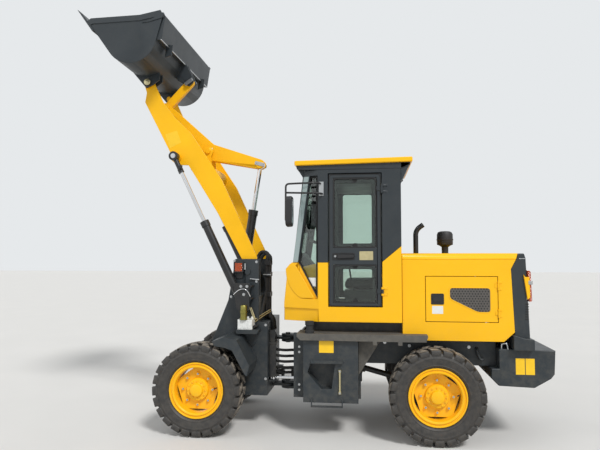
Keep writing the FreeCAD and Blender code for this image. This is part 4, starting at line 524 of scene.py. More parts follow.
def finished(tree, copies, given):
    """Makes the copies real, gives them their material and hands them out of the tree."""
    real = add(tree, "GeometryNodeRealizeInstances", {"Geometry": copies.outputs[0]})
    coated = add(tree, "GeometryNodeSetMaterial", {"Geometry": real.outputs[0], "Material": given["Material"]})
    add(tree, "NodeGroupOutput", {"Geometry": coated.outputs[0]})
    return tree


def copies_tree():
    """Copies of the mesh, each turned about the centre and moved on by a step from the one before."""
    tree, given = tree_with("Repeated piece", (("Count", "Int"), ("Centre", "Vector"), ("Turn", "Vector"),
                                               ("Step", "Vector"), ("Material", "Material")))
    points = add(tree, "GeometryNodeMeshLine", {"Count": given["Count"], "Start Location": given["Centre"],
                                                "Offset": given["Step"]})
    back = add(tree, "ShaderNodeVectorMath", {0: given["Centre"], "Scale": -1.0}, operation="SCALE")
    moved = add(tree, "GeometryNodeTransform", {"Geometry": given["Geometry"], "Translation": back.outputs[0]})
    index = add(tree, "GeometryNodeInputIndex")
    turn = add(tree, "ShaderNodeVectorMath", {0: given["Turn"], "Scale": index.outputs[0]}, operation="SCALE")
    angles = add(tree, "FunctionNodeEulerToRotation", {"Euler": turn.outputs[0]})
    copies = add(tree, "GeometryNodeInstanceOnPoints", {"Points": points.outputs["Mesh"],
                                                        "Instance": moved.outputs[0],
                                                        "Rotation": angles.outputs[0]})
    return finished(tree, copies, given)


def bolts_tree():
    """A hexagon head on a washer at each point, along the point's facing."""
    tree, given = tree_with("Hexagon bolts", (("Across", "Float"), ("Height", "Float"), ("Washer", "Float"),
                                              ("Material", "Material")))
    radius = add(tree, "ShaderNodeMath", {0: given["Across"], 1: 0.577}, operation="MULTIPLY")
    head = add(tree, "GeometryNodeMeshCylinder", {"Vertices": 6, "Radius": radius.outputs[0],
                                                  "Depth": given["Height"]})
    half = add(tree, "ShaderNodeMath", {0: given["Height"], 1: 0.5}, operation="MULTIPLY")
    raised = add(tree, "ShaderNodeCombineXYZ", {"Z": half.outputs[0]})
    lifted = add(tree, "GeometryNodeTransform", {"Geometry": head.outputs["Mesh"],
                                                 "Translation": raised.outputs[0]})
    thick = add(tree, "ShaderNodeMath", {0: given["Height"], 1: 0.4}, operation="MULTIPLY")
    washer = add(tree, "GeometryNodeMeshCylinder", {"Vertices": 16, "Radius": given["Washer"],
                                                    "Depth": thick.outputs[0]})
    both = add(tree, "GeometryNodeJoinGeometry")
    tree.links.new(lifted.outputs[0], both.inputs[0])
    tree.links.new(washer.outputs["Mesh"], both.inputs[0])
    facing = add(tree, "GeometryNodeInputNamedAttribute", {"Name": "facing"}, data_type="FLOAT_VECTOR")
    turn = add(tree, "FunctionNodeAlignRotationToVector", {"Vector": facing.outputs[0]}, axis="Z")
    copies = add(tree, "GeometryNodeInstanceOnPoints", {"Points": given["Geometry"],
                                                        "Instance": both.outputs[0],
                                                        "Rotation": turn.outputs[0]})
    return finished(tree, copies, given)


def grown(thing, tree, **values):
    """Runs a tree on the object with its named inputs set, and keeps the result as a plain mesh."""
    modifier = thing.modifiers.new(tree.name, "NODES")
    modifier.node_group = tree
    for item in tree.interface.items_tree:
        if item.in_out == "INPUT" and item.name in values:
            modifier[item.identifier] = values[item.name]
    smoothed(settled(thing).data)


def repeated(name, body, finish, draw, count, turn=(0, 0, 0), step=(0, 0, 0), centre=(0, 0, 0), edge=0.0):
    """One drawn piece and its copies, turned or moved on in equal steps."""
    thing = piece(name, body, finish, draw, edge=edge, ride=False)
    tree = bpy.data.node_groups.get("Repeated piece") or copies_tree()
    grown(thing, tree, Count=count, Centre=tuple(map(float, centre)), Turn=tuple(map(float, turn)),
          Step=tuple(map(float, step)), Material=bpy.data.materials[finish])
    return hung(thing, body)


def bolted(name, body, finish, places, across, height, washer):
    """Bolt heads at places given as (point, direction), with the width across flats and the washer's radius."""
    mesh = bpy.data.meshes.new(name)
    mesh.from_pydata([tuple(point) for point, facing in places], [], [])
    facings = mesh.attributes.new("facing", "FLOAT_VECTOR", "POINT")
    for i, (point, facing) in enumerate(places):
        facings.data[i].vector = facing
    thing = placed(name, mesh)
    tree = bpy.data.node_groups.get("Hexagon bolts") or bolts_tree()
    grown(thing, tree, Across=across, Height=height, Washer=washer, Material=bpy.data.materials[finish])
    return hung(thing, body)


def heads(sign, out, spots):
    """Places for bolts on one side at (x, z) spots, this far from the middle."""
    return [(Vector((x, sign * out, z)), Vector((0, sign, 0))) for x, z in spots]


def both_bolted(name, body, finish, out, spots, *head):
    for side, sign in SIDES:
        bolted("%s_%s" % (name, side), body.format(side), finish, heads(sign, out, spots), *head)


def hose(name, body, finish, runs, radius):
    """Round hoses or pipes along smooth lines, each given by the points that it bends round."""
    curve = bpy.data.curves.new(name, "CURVE")
    curve.dimensions = "3D"
    curve.bevel_depth = radius
    curve.bevel_resolution = 3
    curve.use_fill_caps = True
    for points in runs:
        spline = curve.splines.new("NURBS")
        spline.points.add(len(points) - 1)
        for knot, point in zip(spline.points, points):
            knot.co = (*point, 1)
        spline.order_u = 3
        spline.use_endpoint_u = True
        spline.resolution_u = 10
    line = placed(name + "_line", curve)
    graph = bpy.context.evaluated_depsgraph_get()
    mesh = bpy.data.meshes.new_from_object(line.evaluated_get(graph))
    bpy.data.objects.remove(line)
    thing = placed(name, dressed(mesh, finish, 50))
    return hung(thing, body) if body else thing


def both_hose(name, body, finish, runs, radius):
    """The same bent lines on each side, given for the right one."""
    for side, sign in SIDES:
        lines = [[(x, sign * y, z) for x, y, z in run] for run in runs]
        hose("%s_%s" % (name, side), body, finish, lines, radius)


# Wheels

# Each wheel's name, its tyre's finish, its centre and its side
WHEELS = [("%s_%s" % (end, side), "tyre_rubber_" + end, Vector((x, sign * WHEEL_MIDDLE, WHEEL_RADIUS)), sign)
          for end, x in (("front", FRONT_AXLE), ("rear", REAR_AXLE)) for side, sign in SIDES]


def lug(bm, centre, sign, half_turn):
    """One tread lug: a bar from the tyre's middle out to its shoulder, and down the wall."""
    # (out from the middle, radius) along the lug's outside and its root, then its middle angle and half width
    stations = (((0.0, 0.45), (0.0, 0.418), 0.0, 3.3), ((0.05, 0.4495), (0.05, 0.418), 1.5, 3.6),
                ((0.1, 0.4475), (0.095, 0.416), 3.6, 4.6), ((0.128, 0.4445), (0.108, 0.412), 5.0, 5.5),
                ((0.1395, 0.437), (0.118, 0.404), 5.4, 5.8), ((0.1424, 0.42), (0.124, 0.396), 5.5, 5.8),
                ((0.1408, 0.389), (0.13, 0.385), 5.5, 5.6))
    flare = 0.7
    rings = []
    for outside, root, middle, width in stations:
        ring = []
        for (out, radius), spread in ((outside, -width), (outside, width),
                                      (root, width + flare), (root, -width - flare)):
            angle = math.radians(middle + spread + half_turn)
            ring.append(bm.verts.new(centre + Vector((radius * math.sin(angle), sign * out,
                                                      radius * math.cos(angle)))))
        rings.append(ring)
    for ring, after in zip(rings, rings[1:]):
        for i in range(4):
            bm.faces.new((ring[i], ring[(i + 1) % 4], after[(i + 1) % 4], after[i]))
    bm.faces.new(rings[0])
    bm.faces.new(rings[-1][::-1])


class LOADER_OT_tyres(bpy.types.Operator):
    """Makes the tyres: a moulded carcass with a ring of lugs on each shoulder"""
    bl_idname = "loader.tyres"
    bl_label = "Tyres"

    def execute(self, context):
        count = context.scene.loader_sizes.lugs
        wall = [(0.252, 0.1105), (0.276, 0.113), (0.286, 0.127), (0.294, 0.1315), (0.297, 0.135),
                (0.301, 0.1352), (0.304, 0.1335), (0.32, 0.1375), (0.345, 0.14), (0.362, 0.14),
                (0.366, 0.1415), (0.37, 0.14), (0.388, 0.137), (0.402, 0.131), (0.413, 0.12),
                (0.42, 0.1), (0.424, 0.05)]
        carcass = [(r, -y) for r, y in wall] + wall[::-1]
        for label, rubber, centre, sign in WHEELS:
            def both_shoulders(bm):
                lug(bm, centre, sign, 8.05)
                lug(bm, centre, -sign, 0.545)

            repeated("tread_" + label, "wheel_" + label, rubber, both_shoulders, count,
                     turn=(0, math.tau / count, 0), centre=centre, edge=0.003)
            piece("carcass_" + label, "wheel_" + label, rubber,
                  lambda bm: turned(bm, carcass, centre, steps=96, closed=True), replaced=("tyre_" + label,))
        return {"FINISHED"}


class LOADER_OT_rims(bpy.types.Operator):
    """Makes the rims: a rolled flange and lock ring, a disc with openings at its edge, hub, nuts and bolts"""
    bl_idname = "loader.rims"
    bl_label = "Rims"

    def execute(self, context):
        nuts = context.scene.loader_sizes.wheel_nuts
        rolled = [(0.252, 0.1105), (0.272, 0.1105), (0.272, 0.1205), (0.268, 0.1242), (0.261, 0.1242),
                  (0.257, 0.12), (0.255, 0.112), (0.2445, 0.112), (0.242, 0.12), (0.238, 0.1242),
                  (0.229, 0.123), (0.221, 0.115), (0.217, 0.09), (0.217, -0.09), (0.236, -0.1235),
                  (0.272, -0.1235), (0.272, -0.1125), (0.252, -0.1125)]
        hub = [(0.0, 0.0195), (0.113, 0.0195), (0.113, 0.04), (0.11, 0.066), (0.104, 0.0755), (0.07, 0.0775),
               (0.064, 0.0835), (0.0615, 0.108), (0.0585, 0.1145), (0.052, 0.1175), (0.0, 0.1175)]
        # The disc's round edge is cut by five flats, which leave the openings inside the rolled flange
        disc_radius, flat_reach, points = 0.2175, 0.194, 100
        flats = [(k + 0.5) * math.tau / 5 for k in range(5)]
        edge = []
        for step in range(points):
            angle = math.tau * step / points
            facings = [math.cos(angle - flat) for flat in flats]
            reach = min([disc_radius] + [flat_reach / facing for facing in facings if facing > 0])
            edge.append((reach * math.sin(angle), reach * math.cos(angle)))
        for label, rubber, centre, sign in WHEELS:
            body = "wheel_" + label
            out = Vector((0, sign, 0))

            def rim(bm):
                turned(bm, [(r, sign * y) for r, y in rolled], centre, steps=96, closed=True)
                turned(bm, [(r, sign * y) for r, y in hub], centre, steps=48)
                plate(bm, sign, edge, 0.021, 0.035, Matrix.Translation(centre))

            piece("rim_shell_" + label, body, "yellow_enamel", rim, replaced=("rim_" + label,))
            for word, number, ring, depth, across, tall, finish in (
                    ("nuts", nuts, 0.15, 0.035, 0.03, 0.02, "yellow_enamel"),
                    ("studs", nuts, 0.15, 0.055, 0.014, 0.012, "zinc_plate"),
                    ("hub_bolts", 12, 0.087, 0.0765, 0.017, 0.011, "yellow_enamel")):
                places = [(centre + out * depth + Vector((ring * math.sin(math.tau * k / number), 0,
                                                          ring * math.cos(math.tau * k / number))), out)
                          for k in range(number)]
                bolted("wheel_%s_%s" % (word, label), body, finish, places, across, tall, across * 0.72)
            piece("valve_stem_" + label, body, "black_rubber", lambda bm: turned(
                bm, [(0, 0), (0.006, 0), (0.005, 0.03), (0.007, 0.031), (0.007, 0.04), (0, 0.04)],
                centre + Vector((0.196, sign * 0.07, 0.02)), axis=(-0.4, sign, 0), steps=10))
        return {"FINISHED"}


class LOADER_OT_panels(bpy.types.Operator):
    """Rounds the edges of the painted frames, panels, arms and bucket"""
    bl_idname = "loader.panels"
    bl_label = "Frames and panels"

    def execute(self, context):
        for finish, nodes in (("slate_enamel", ("front_frame", "rear_frame", "bucket")),
                              ("arm_enamel", ("boom", "bellcrank", "bucket_link")),
                              ("worn_enamel", ("platforms",))):
            for node in nodes:
                rounded(node, finish, context.scene.loader_sizes.edge, 2)
        for finish, widths in (
                ("yellow_enamel", {"cab_cowl": 0.005, "hood": 0.008, "hood_sides": 0.002,
                                   "engine_door_left": 0.003, "engine_door_right": 0.003}),
                ("slate_enamel", {"cab_frame": 0.006, "front_fenders": 0.0015, "grille_housing": 0.01,
                                  "counterweight": 0.01, "side_tanks": 0.003, "cab_door_left": 0.004,
                                  "cab_door_right": 0.004, "radiator_grille": 0.002})):
            for node, width in widths.items():
                rounded(node, finish, width, 3)
        return {"FINISHED"}


# Cab

PANES = (((0.256, 1.845), (0.689, 2.545)), ((0.256, 1.3), (0.689, 1.68)))
# Ahead of this x the cab's sides draw in towards the nose: a piece drawn on the side is sheared onto them
NOSE_START = 0.11
NOSE_SLOPE = 0.3562
DRAWN_IN = {sign: Matrix(((1, 0, 0, 0), (sign * NOSE_SLOPE, 1, 0, -sign * NOSE_SLOPE * NOSE_START),
                          (0, 0, 1, 0), (0, 0, 0, 1))) for sign in (-1, 1)}


class LOADER_OT_cab(bpy.types.Operator):
    """Makes the cab's seals, window bands, door handles, roof, mirrors, wiper and blank plates"""
    bl_idname = "loader.cab"
    bl_label = "Cab trim"

    def execute(self, context):
        band = context.scene.loader_sizes.seal
        door = "cab_door_{}"

        def bands(bm, sign):
            for pane in PANES:
                hoop(bm, sign, *pane, (0.001, 0.004), (band, 0.03), 0.5735, 0.57)

        def seals(bm, sign):
            for pane in PANES:
                for near, far in ((0.5815, 0.5985), (0.5735, 0.5565)):
                    hoop(bm, sign, *pane, (0.0005, 0.02), (0.014, 0.03), near, far)

        def handle(bm, sign):
            hoop(bm, sign, (0.25, 1.728), (0.47, 1.796), (0, 0.012), (0.009, 0.01), 0.5995, 0.606)
            box(bm, sign, (0.262, 1.74), (0.458, 1.784), 0.594, 0.601)
            grip = rounded_corners([(0.3, 1.742), (0.462, 1.748), (0.462, 1.776), (0.3, 1.782)], 0.01)
            plate(bm, sign, grip, 0.607, 0.621)

        both("pane_bands", door, "moulded_plastic", bands)
        both("pane_seals", door, "black_rubber", seals, edge=0.003)
        both("door_bezel", door, "black_rubber", lambda bm, sign: hoop(
            bm, sign, (0.216, 1.273), (0.729, 2.58), (0, 0.03), (0.007, 0.03), 0.6, 0.603), edge=0.001)
        both("door_handle", door, "moulded_plastic", handle, edge=0.003)
        both("door_lock", door, "zinc_plate", lambda bm, sign: turned(
            bm, [(0, 0), (0.013, 0), (0.013, 0.006), (0.01, 0.01), (0.004, 0.01), (0.004, 0.007), (0, 0.007)],
            (0.277, sign * 0.6, 1.763), axis=(0, sign, 0), steps=20))
        both("info_plate", door, "beige_label", lambda bm, sign: plate(
            bm, sign, inset((0.516, 1.725), (0.65, 1.812), 0, 0.006), 0.6, 0.6025), edge=0.0008)
        both_bolted("pane_screws", door, "black_rubber", 0.581,
                    [(0.4725, z) for z in (1.868, 2.522, 1.66, 1.322)], 0.02, 0.006, 0.026)

        def roof_skin(bm):
            slab(bm, [(-0.13, 2.672), (1.041, 2.692), (1.041, 2.742), (-0.13, 2.722)], -0.625, 0.625)

        def roof_rib(bm):
            slab(bm, [(0.02, 2.722), (0.9, 2.737), (0.9, 2.743), (0.02, 2.728)], -0.47, -0.39)

        def roof_frame(bm):
            slab(bm, [(-0.112, 2.674), (-0.108, 2.64), (-0.05, 2.6305), (0.93, 2.6305), (1.005, 2.662),
                      (1.026, 2.694)], -0.6, 0.6)
            for sign in (-1, 1):
                plate(bm, sign, [(0.926, 2.632), (1.018, 2.66), (1.018, 2.686), (0.926, 2.69)], 0.58, 0.6)
                plate(bm, sign, [(0.927, 2.64), (1.01, 2.668), (0.94, 2.52), (0.927, 2.51)], 0.577, 0.593)
                plate(bm, sign, [(-0.04, 2.632), (-0.104, 2.645), (-0.052, 2.56), (-0.04, 2.55)],
                      0.539, 0.551)

        piece("roof_skin", "rear_frame", "yellow_enamel", roof_skin, edge=0.012, segments=3,
              replaced=("cab_roof",))
        repeated("roof_ribs", "rear_frame", "yellow_enamel", roof_rib, 5, step=(0, 0.215, 0), edge=0.004)
        piece("roof_frame", "rear_frame", "slate_enamel", roof_frame, edge=0.003)

        # The pale strip down the front post is a painted reflection of the sky in the bonded glass
        both("bonded_edge", "rear_frame", "bonded_glass", lambda bm, sign: plate(
            bm, sign, [(-0.1585, 1.703), (-0.106, 1.703), (0.012, 2.566), (-0.0405, 2.566)], 0.6002, 0.604,
            DRAWN_IN[sign]), edge=0.001)
        arm = 0.68
        both_hose("mirror_bars", "rear_frame", "moulded_plastic",
                  [[(0.13, 0.606, 2.49), (0.13, arm, 2.49), (-0.14, arm, 2.484), (-0.206, arm, 2.48),
                    (-0.208, arm, 2.42), (-0.208, arm, 2.118)],
                   [(0.15, 0.606, 2.385), (0.15, arm, 2.385), (-0.02, arm, 2.388), (-0.208, arm, 2.394)]],
                  0.0095)

        def mirror_head(bm, sign):
            rows = rounded_corners([(0.012, 2.043), (0.15, 2.062), (0.16, 2.345), (0.0, 2.345)], 0.045)
            loft(bm, [(-0.193, sign * (0.672 + y), z) for y, z in rows],
                 [(-0.128, sign * (0.672 + y * 0.94 + 0.005), z + 0.004) for y, z in rows])

        both("mirror_head", "rear_frame", "moulded_plastic", mirror_head, ("mirrors",), edge=0.014, segments=3)
        both("mirror_face", "rear_frame", "hard_chrome", lambda bm, sign: box(
            bm, sign, (-0.1275, 2.085), (-0.1262, 2.315), 0.695, 0.805), edge=0.0005)
        both("mirror_foot", "rear_frame", "zinc_plate", lambda bm, sign: box(
            bm, sign, (0.116, 2.366), (0.164, 2.508), 0.6, 0.607), edge=0.002)
        piece("underfloor_screens", "rear_frame", "black_enamel", lambda bm: [
            box(bm, sign, (-0.02, 1.012), (0.93, 1.114), 0.43, 0.445) for sign in (-1, 1)])
        piece("headliner", "rear_frame", "moulded_plastic", lambda bm: block(
            bm, (0.07, -0.5, 2.5), (0.87, 0.5, 2.6)), edge=0.02)

        def wiper(bm):
            lean = Matrix.Rotation(math.radians(8), 4, "Y")
            turned(bm, [(0, -0.02), (0.016, -0.02), (0.016, 0.014), (0, 0.014)], (-0.15, -0.1, 1.722),
                   axis=(-1, 0, 0.13))
            block(bm, (-0.004, -0.006, 0.0), (0.004, 0.006, 0.34),
                  Matrix.Translation((-0.166, -0.1, 1.722)) @ lean @ Matrix.Rotation(math.radians(-30), 4, "X"))
            block(bm, (-0.003, -0.004, -0.22), (0.003, 0.004, 0.22),
                  Matrix.Translation((-0.119, 0.069, 2.016)) @ lean)

        piece("windshield_wiper", "rear_frame", "moulded_plastic", wiper)

        def cord(bm):
            """Rubber that holds the windshield and the slanted side panes."""
            rows = [(-0.16, 1.7, 0.462), (-0.144, 1.7, 0.462), (-0.04, 2.57, 0.5), (-0.056, 2.57, 0.5)]
            for sign in (-1, 1):
                loft(bm, *([(x, sign * (half + off), z) for x, z, half in rows] for off in (-0.01, 0.008)))
                border(bm, [(-0.1, 1.7), (0.02, 2.57), (0.1, 2.57), (0.1, 1.341)],
                       [(-0.083, 1.701), (0.033, 2.553), (0.084, 2.553), (0.084, 1.402)],
                       *on_side(sign, 0.5655, 0.5755), DRAWN_IN[sign])

        piece("windshield_cord", "rear_frame", "black_rubber", cord)
        wing = [(-0.187, 1.69), (-0.238, 1.632), (-0.229, 1.553), (-0.192, 1.46), (-0.148, 1.4),
                (-0.105, 1.359), (-0.062, 1.343), (0.055, 1.345), (0.066, 1.357), (-0.014, 1.488),
                (-0.121, 1.657), (-0.15, 1.686)]
        both("cowl_wing", "rear_frame", "yellow_enamel", lambda bm, sign: plate(
            bm, sign, wing, 0.594, 0.605, DRAWN_IN[sign]), edge=0.006, segments=3)
        both("pane_label", "rear_frame", "white_label", lambda bm, sign: plate(
            bm, sign, inset((0.0, 1.462), (0.08, 1.548), 0, 0.005), 0.5653, 0.566, DRAWN_IN[sign]))
        return {"FINISHED"}


def cushion(name, low, high):
    """A crowned pad, drawn in from its corners, with a seam round its edge and two sewn channels."""
    crown, squareness = 0.1, 6
    bm = bmesh.new()
    bmesh.ops.create_grid(bm, x_segments=24, y_segments=24, size=1.0)
    grid = [vertex.co.copy() for vertex in bm.verts]
    bm.clear()
    width, depth, tall = (high[i] - low[i] for i in range(3))
    middle = [(high[i] + low[i]) / 2 for i in range(3)]

    def sheet(top):
        made = {}
        for spot in grid:
            across, along = spot.x, spot.y
            pull = 1 - 0.035 * (abs(across) * abs(along)) ** 3
            swell = (1 - abs(across) ** squareness) * (1 - abs(along) ** squareness)
            channel = 0.1 * math.exp(-((abs(along) - 0.5) / 0.03) ** 2) if top else 0
            z = tall / 2 * (0.35 + 0.65 * swell ** 0.35 + (crown * swell if top else 0) - channel * swell)
            z = min(z, tall / 2)
            if max(abs(across), abs(along)) < 0.999:
                height = z if top else -z * 0.9
            else:
                height = (0.3 if top else -0.3) * tall / 2
            made[round(across, 4), round(along, 4)] = bm.verts.new((middle[0] + across * pull * width / 2,
                                                                    middle[1] + along * pull * depth / 2,
                                                                    middle[2] + height))
        return made

    upper, lower = sheet(True), sheet(False)
    marks = sorted({across for across, along in upper})
    for made, flip in ((upper, False), (lower, True)):
        for x0, x1 in zip(marks, marks[1:]):
            for y0, y1 in zip(marks, marks[1:]):
                ring = [made[x0, y0], made[x1, y0], made[x1, y1], made[x0, y1]]
                bm.faces.new(ring[::-1] if flip else ring)
    rim = [(m, marks[0]) for m in marks] + [(marks[-1], m) for m in marks[1:]] \
        + [(m, marks[-1]) for m in marks[::-1][1:]] + [(marks[0], m) for m in marks[::-1][1:-1]]
    for here, after in zip(rim, rim[1:] + rim[:1]):
        bm.faces.new((upper[here], lower[here], lower[after], upper[after]))
    bmesh.ops.recalc_face_normals(bm, faces=bm.faces)
    thing = placed(name, dressed(filled(name, bm), "grained_vinyl", 60))
    hung(thing, "rear_frame")


class LOADER_OT_seat(bpy.types.Operator):
    """Makes the seat's cushions and base, the dial panel and the levers"""
    bl_idname = "loader.seat"
    bl_label = "Seat and controls"

    def execute(self, context):
        cushion("seat_cushion", (0.352, -0.248, 1.405), (0.79, 0.248, 1.525))
        cushion("seat_backrest", (0.7, -0.225, 1.56), (0.8, 0.225, 2.04))

        def base(bm):
            block(bm, (0.42, -0.165, 1.139), (0.72, 0.165, 1.17))
            for step in range(5):
                # The bellows: every other fold is drawn in
                fold = 0.008 * (step % 2)
                block(bm, (0.44 + fold, -0.15 + fold, 1.17 + 0.04 * step),
                      (0.7 - fold, 0.15 - fold, 1.21 + 0.04 * step))
            block(bm, (0.4, -0.17, 1.37), (0.72, 0.17, 1.404))
            slab(bm, [(0.74, 1.4), (0.8, 1.44), (0.835, 1.9), (0.815, 1.9), (0.775, 1.5), (0.72, 1.42)],
                 -0.15, 0.15)

        def controls(bm):
            slab(bm, rounded_corners([(-0.125, 1.639), (0.015, 1.639), (0.015, 1.66), (-0.1, 1.8),
                                      (-0.135, 1.8)], 0.012), -0.19, 0.19)
            for y in (-0.3, -0.36):
                turned(bm, [(0, 0), (0.008, 0), (0.007, 0.22), (0.02, 0.23), (0.022, 0.27), (0.012, 0.29),
                            (0, 0.29)], (0.44, y, 1.42), axis=(-0.15, 0, 1), steps=14)
            block(bm, (0.36, -0.4, 1.139), (0.66, -0.27, 1.42))

        piece("seat_base", "rear_frame", "black_rubber", base, edge=0.003, replaced=("operator_seat",))
        piece("dial_panel_and_levers", "rear_frame", "moulded_plastic", controls, edge=0.004)
        return {"FINISHED"}


# Hood and rear end

PRECLEANER_X = 1.419


def hole_rows(pitch):
    """Where the side grille's rows of holes start, how high each lies and how many holes it has."""
    left, right, slanted_below, lean = 1.392, 1.75, 1.352, 2.05
    rows = []
    z = 1.238
    while z < 1.452:
        edge = left + max(0, slanted_below - z) * lean
        start = left + math.ceil((edge - left) / pitch) * pitch + (pitch / 2 if len(rows) % 2 else 0)
        rows.append((start, z, int((right - start) / pitch) + 1))
        z += pitch * 0.866
    return rows


class LOADER_OT_hood(bpy.types.Operator):
    """Makes the side grilles with painted shade for their holes, latches, blank labels, lamps, painted shade
    for the louvre slots, precleaner and rear fittings
    """
    bl_idname = "loader.hood"
    bl_label = "Hood trim"

    def execute(self, context):
        pitch = context.scene.loader_sizes.hole_pitch
        door, rear = "engine_door_{}", "rear_frame"
        outline = rounded_corners([(1.373, 1.464), (1.767, 1.464), (1.767, 1.221), (1.64, 1.221),
                                   (1.373, 1.35)], 0.035)
        inner = rounded_corners([(1.383, 1.456), (1.759, 1.456), (1.759, 1.229), (1.642, 1.229),
                                 (1.383, 1.356)], 0.03)
        both("grille_rim", door, "yellow_enamel",
             lambda bm, sign: border(bm, outline, inner, *on_side(sign, 0.5795, 0.583)), edge=0.0015)
        both("grille_sheet", door, "perforated_steel", lambda bm, sign: plate(bm, sign, inner, 0.579, 0.5812))
        for side, sign in SIDES:
            for number, (start, z, count) in enumerate(hole_rows(pitch)):
                # Each hole is a thin black disc on the sheet: painted shade where the dark behind the grille
                # would show through
                repeated("grille_holes_%s_%d" % (side, number), door.format(side), "black_rubber",
                         lambda bm: turned(bm, [(0, 0), (0.0078, 0), (0.0078, 0.0012), (0, 0.0012)],
                                           (start, sign * 0.5805, z), axis=(0, sign, 0), steps=10),
                         count, step=(pitch, 0, 0))
            # Black strips on the housing's side: painted shade for the dark slots of its louvres
            repeated("housing_louvres_" + side, rear, "black_rubber",
                     lambda bm: box(bm, sign, (2.078, 1.16), (2.108, 1.17), 0.579, 0.5835),
                     7, step=(0.0008, 0, 0.024), edge=0.0015)

        def latch(bm, sign):
            hoop(bm, sign, (1.204, 1.297), (1.326, 1.402), (0, 0.012), (0.007, 0.01), 0.5795, 0.5845)
            box(bm, sign, (1.209, 1.302), (1.321, 1.397), 0.5793, 0.5805)
            plate(bm, sign, inset((1.222, 1.325), (1.3, 1.372), 0, 0.008), 0.5805, 0.5885)

        both("door_latch", door, "moulded_plastic", latch, edge=0.0015)
        both("blank_label", door, "white_label", lambda bm, sign: plate(
            bm, sign, inset((1.213, 1.207), (1.317, 1.283), 0, 0.004), 0.5798, 0.5806))
        both("blank_warnings", rear, "yellow_label", lambda bm, sign: [
            plate(bm, sign, [(x, 0.64), (x + 0.083, 0.64), (x + 0.083, 0.792), (x, 0.792)], 0.5498, 0.5508)
            for x in (1.988, 2.078)])
        both_hose("lifting_shackle", rear, "zinc_plate",
                  [[(1.866, 0.52, 0.872), (1.866, 0.522, 0.905), (1.872, 0.524, 0.925), (1.91, 0.534, 0.93),
                    (1.92, 0.538, 0.905), (1.922, 0.538, 0.872)]], 0.0085)
        both("rear_box", rear, "slate_enamel", lambda bm, sign: plate(
            bm, sign, [(1.96, 0.874), (2.15, 0.874), (2.15, 0.978), (2.05, 0.99), (1.96, 1.018)],
            0.47, 0.618), edge=0.006)
        both("tail_reflector", rear, "yellow_enamel", lambda bm, sign: plate(
            bm, sign, [(2.066, 1.59), (2.08, 1.566), (2.118, 1.566), (2.122, 1.372), (2.098, 1.352)],
            0.58, 0.6), edge=0.003)
        both("housing_rim", rear, "zinc_plate", lambda bm, sign: box(
            bm, sign, (2.03, 1.737), (2.088, 1.743), 0.579, 0.5825), edge=0.001)
        both("tail_lamp_clip", rear, "zinc_plate", lambda bm, sign: box(
            bm, sign, (2.108, 1.495), (2.146, 1.53), 0.594, 0.604), edge=0.002)
        both("cab_mount", rear, "black_rubber", lambda bm, sign: turned(
            bm, [(0, 0), (0.046, 0), (0.046, 0.03), (0.036, 0.036), (0.036, 0.076), (0.044, 0.082),
                 (0.044, 0.118), (0, 0.118)], (0.026, sign * 0.648, 1.01), axis=UP))
        both("tail_lamp_body", rear, "orange_lens", lambda bm, sign: plate(
            bm, sign, rounded_corners([(2.104, 1.632), (2.132, 1.618), (2.14, 1.335), (2.114, 1.33)], 0.01),
            0.5, 0.596), ("tail_lamps",), edge=0.005)

        piece("precleaner_bowl", rear, "moulded_plastic", lambda bm: turned(
            bm, [(0.0, 0.0), (0.034, 0.0), (0.036, 0.07), (0.06, 0.085), (0.078, 0.094), (0.084, 0.11),
                 (0.084, 0.14), (0.088, 0.144), (0.088, 0.152), (0.084, 0.156), (0.083, 0.205),
                 (0.072, 0.228), (0.05, 0.238), (0.0, 0.241)], (PRECLEANER_X, 0, 1.7925), axis=UP, steps=40),
            replaced=("air_precleaner",))
        fins = 20
        repeated("precleaner_fins", rear, "moulded_plastic", lambda bm: block(
            bm, (PRECLEANER_X + 0.05, -0.003, 1.885), (PRECLEANER_X + 0.083, 0.003, 1.905)), fins,
            turn=(0, 0, math.tau / fins), centre=(PRECLEANER_X, 0, 1.89))
        repeated("radiator_fins", rear, "cast_iron", lambda bm: block(
            bm, (2.0255, -0.485, 1.085), (2.029, 0.485, 1.088)), 60, step=(0, 0, 0.0092))
        return {"FINISHED"}


# Boom, bucket and tower

